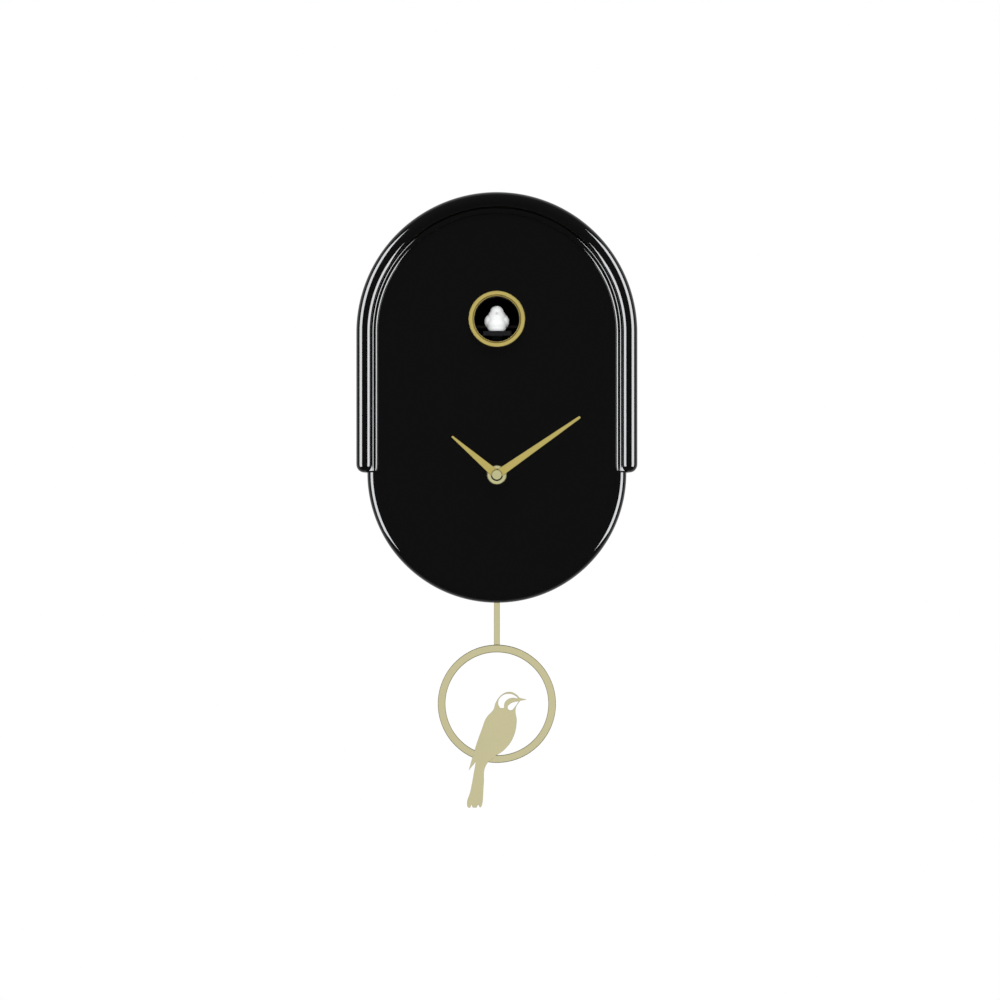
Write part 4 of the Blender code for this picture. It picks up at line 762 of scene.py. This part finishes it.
def finish_frame():
    for entry in frame["record"]["subparts"]:
        mesh = frame["nodes"][entry["node"]].data
        mesh.materials.clear()
        mesh.materials.append(MATERIALS[entry["material_slot"]])


# Studio


SOFTBOX_TINT = (0.97, 0.985, 1.0)


def lamp(name, place, target, wide, tall, radiance, lit=(), glossy=True, diffuse=True):
    """A softbox that faces its target and isn't seen itself; it lights only the lit pieces, if given."""
    light = bpy.data.lights.new(name, "AREA")
    light.shape = "RECTANGLE"
    light.size, light.size_y = wide, tall
    light.energy = radiance * math.pi * wide * tall
    obj = bpy.data.objects.new(name, light)
    bpy.context.scene.collection.objects.link(obj)
    obj.location = place
    light.color = SOFTBOX_TINT
    obj.rotation_euler = (Vector(target) - Vector(place)).to_track_quat("-Z", "Y").to_euler()
    obj.visible_camera = False
    obj.visible_glossy = glossy
    obj.visible_diffuse = diffuse
    if lit:
        receivers = bpy.data.collections.new(f"{name}_lights")
        for piece in lit:
            receivers.objects.link(piece)
        obj.light_linking.receiver_collection = receivers


def finished_in(*finishes):
    """The pieces that have one of these finishes."""
    wanted = {MATERIALS[finish] for finish in finishes}
    meshes = [obj for obj in bpy.context.scene.objects if obj.type == "MESH"]
    return [obj for obj in meshes if wanted.intersection(obj.data.materials)]


def make_lights():
    """Tall side softboxes for the lacquer, a card before the brass, a light for the bird and a ceiling."""
    for side, name in ((-1, "left_softbox"), (1, "right_softbox")):
        turn = math.radians(SIDE_DEGREES)
        place = (side * SIDE_DISTANCE * math.sin(turn), -SIDE_DISTANCE * math.cos(turn), SIDE_Z)
        lamp(name, place, (0, 0, SIDE_Z), 0.95, 2.2, 12.0, finished_in("black_lacquer"), diffuse=False)
    brass = finished_in("polished_brass", "satin_brass", "turned_brass")
    lamp("brass_card", (0, -2.8, 0.0), (0, 0, 0), 6.0, 2.6, 0.93, brass, diffuse=False)
    bird = [bpy.data.objects["cuckoo_bird_smooth"], frame["nodes"]["bird_carriage"]]
    lamp("bird_light", (0, -2.8, 0.35), (0, 0, 0.11), 1.0, 1.0, 27.0, bird, glossy=False)
    lamp("ceiling", (0, 0, 1.9), (0, 0, 0), 2.4, 2.4, 4.6, glossy=False)


def make_world():
    """A white sweep behind the clock and a dark room in front; the lens sees plain white."""
    world = bpy.data.worlds.new("studio")
    bpy.context.scene.world = world
    world.use_nodes = True
    nodes, links = world.node_tree.nodes, world.node_tree.links
    nodes.clear()
    direction = nodes.new("ShaderNodeTexCoord").outputs["Generated"]
    split = nodes.new("ShaderNodeSeparateXYZ")
    links.new(direction, split.inputs["Vector"])
    sweep = nodes.new("ShaderNodeMapRange")
    sweep.inputs["From Min"].default_value = -0.1
    sweep.inputs["From Max"].default_value = 0.5
    sweep.inputs["To Min"].default_value = ROOM_STRENGTH
    sweep.inputs["To Max"].default_value = SWEEP_STRENGTH
    links.new(split.outputs["Y"], sweep.inputs["Value"])
    room = nodes.new("ShaderNodeBackground")
    links.new(sweep.outputs["Result"], room.inputs["Strength"])
    seen = nodes.new("ShaderNodeBackground")
    seen.inputs["Color"].default_value = (1, 1, 1, 1)
    seen.inputs["Strength"].default_value = 1.0
    mix = nodes.new("ShaderNodeMixShader")
    links.new(nodes.new("ShaderNodeLightPath").outputs["Is Camera Ray"], mix.inputs["Fac"])
    links.new(room.outputs["Background"], mix.inputs[1])
    links.new(seen.outputs["Background"], mix.inputs[2])
    links.new(mix.outputs["Shader"], nodes.new("ShaderNodeOutputWorld").inputs["Surface"])


def make_floor():
    outline = rectangle(-FLOOR_HALF, FLOOR_HALF, -FLOOR_HALF, FLOOR_HALF, FLOOR_CORNER)
    rings = [[(x, y, z) for x, y in outline] for z in (FLOOR_BOTTOM, FLOOR_TOP)]
    floor = skinned("floor", rings, True)
    floor.data.materials.append(surface("pale_floor", (0.80, 0.80, 0.79), (0.6, 0.8), tint=0.02))
    floor.visible_glossy = False


def make_camera():
    camera = bpy.data.objects.new("camera", bpy.data.cameras.new("camera"))
    camera.data.sensor_width = SENSOR
    camera.data.lens = LENS
    camera.location = CAMERA_PLACE
    camera.rotation_euler = (math.radians(90), 0, 0)
    bpy.context.scene.collection.objects.link(camera)
    bpy.context.scene.camera = camera
    bpy.context.scene.view_settings.view_transform = "Standard"


finish_frame()
make_front_shell()
make_hood()
make_window()
make_hand("minute_hand", MINUTE_HAND)
make_hand("hour_hand", HOUR_HAND)
make_hand_nuts()
make_pendulum()
make_cuckoo_bird()
make_back_cover()
make_door("movement_door")
make_door("battery_door")
make_screws()
make_floor()
make_world()
make_lights()
make_camera()
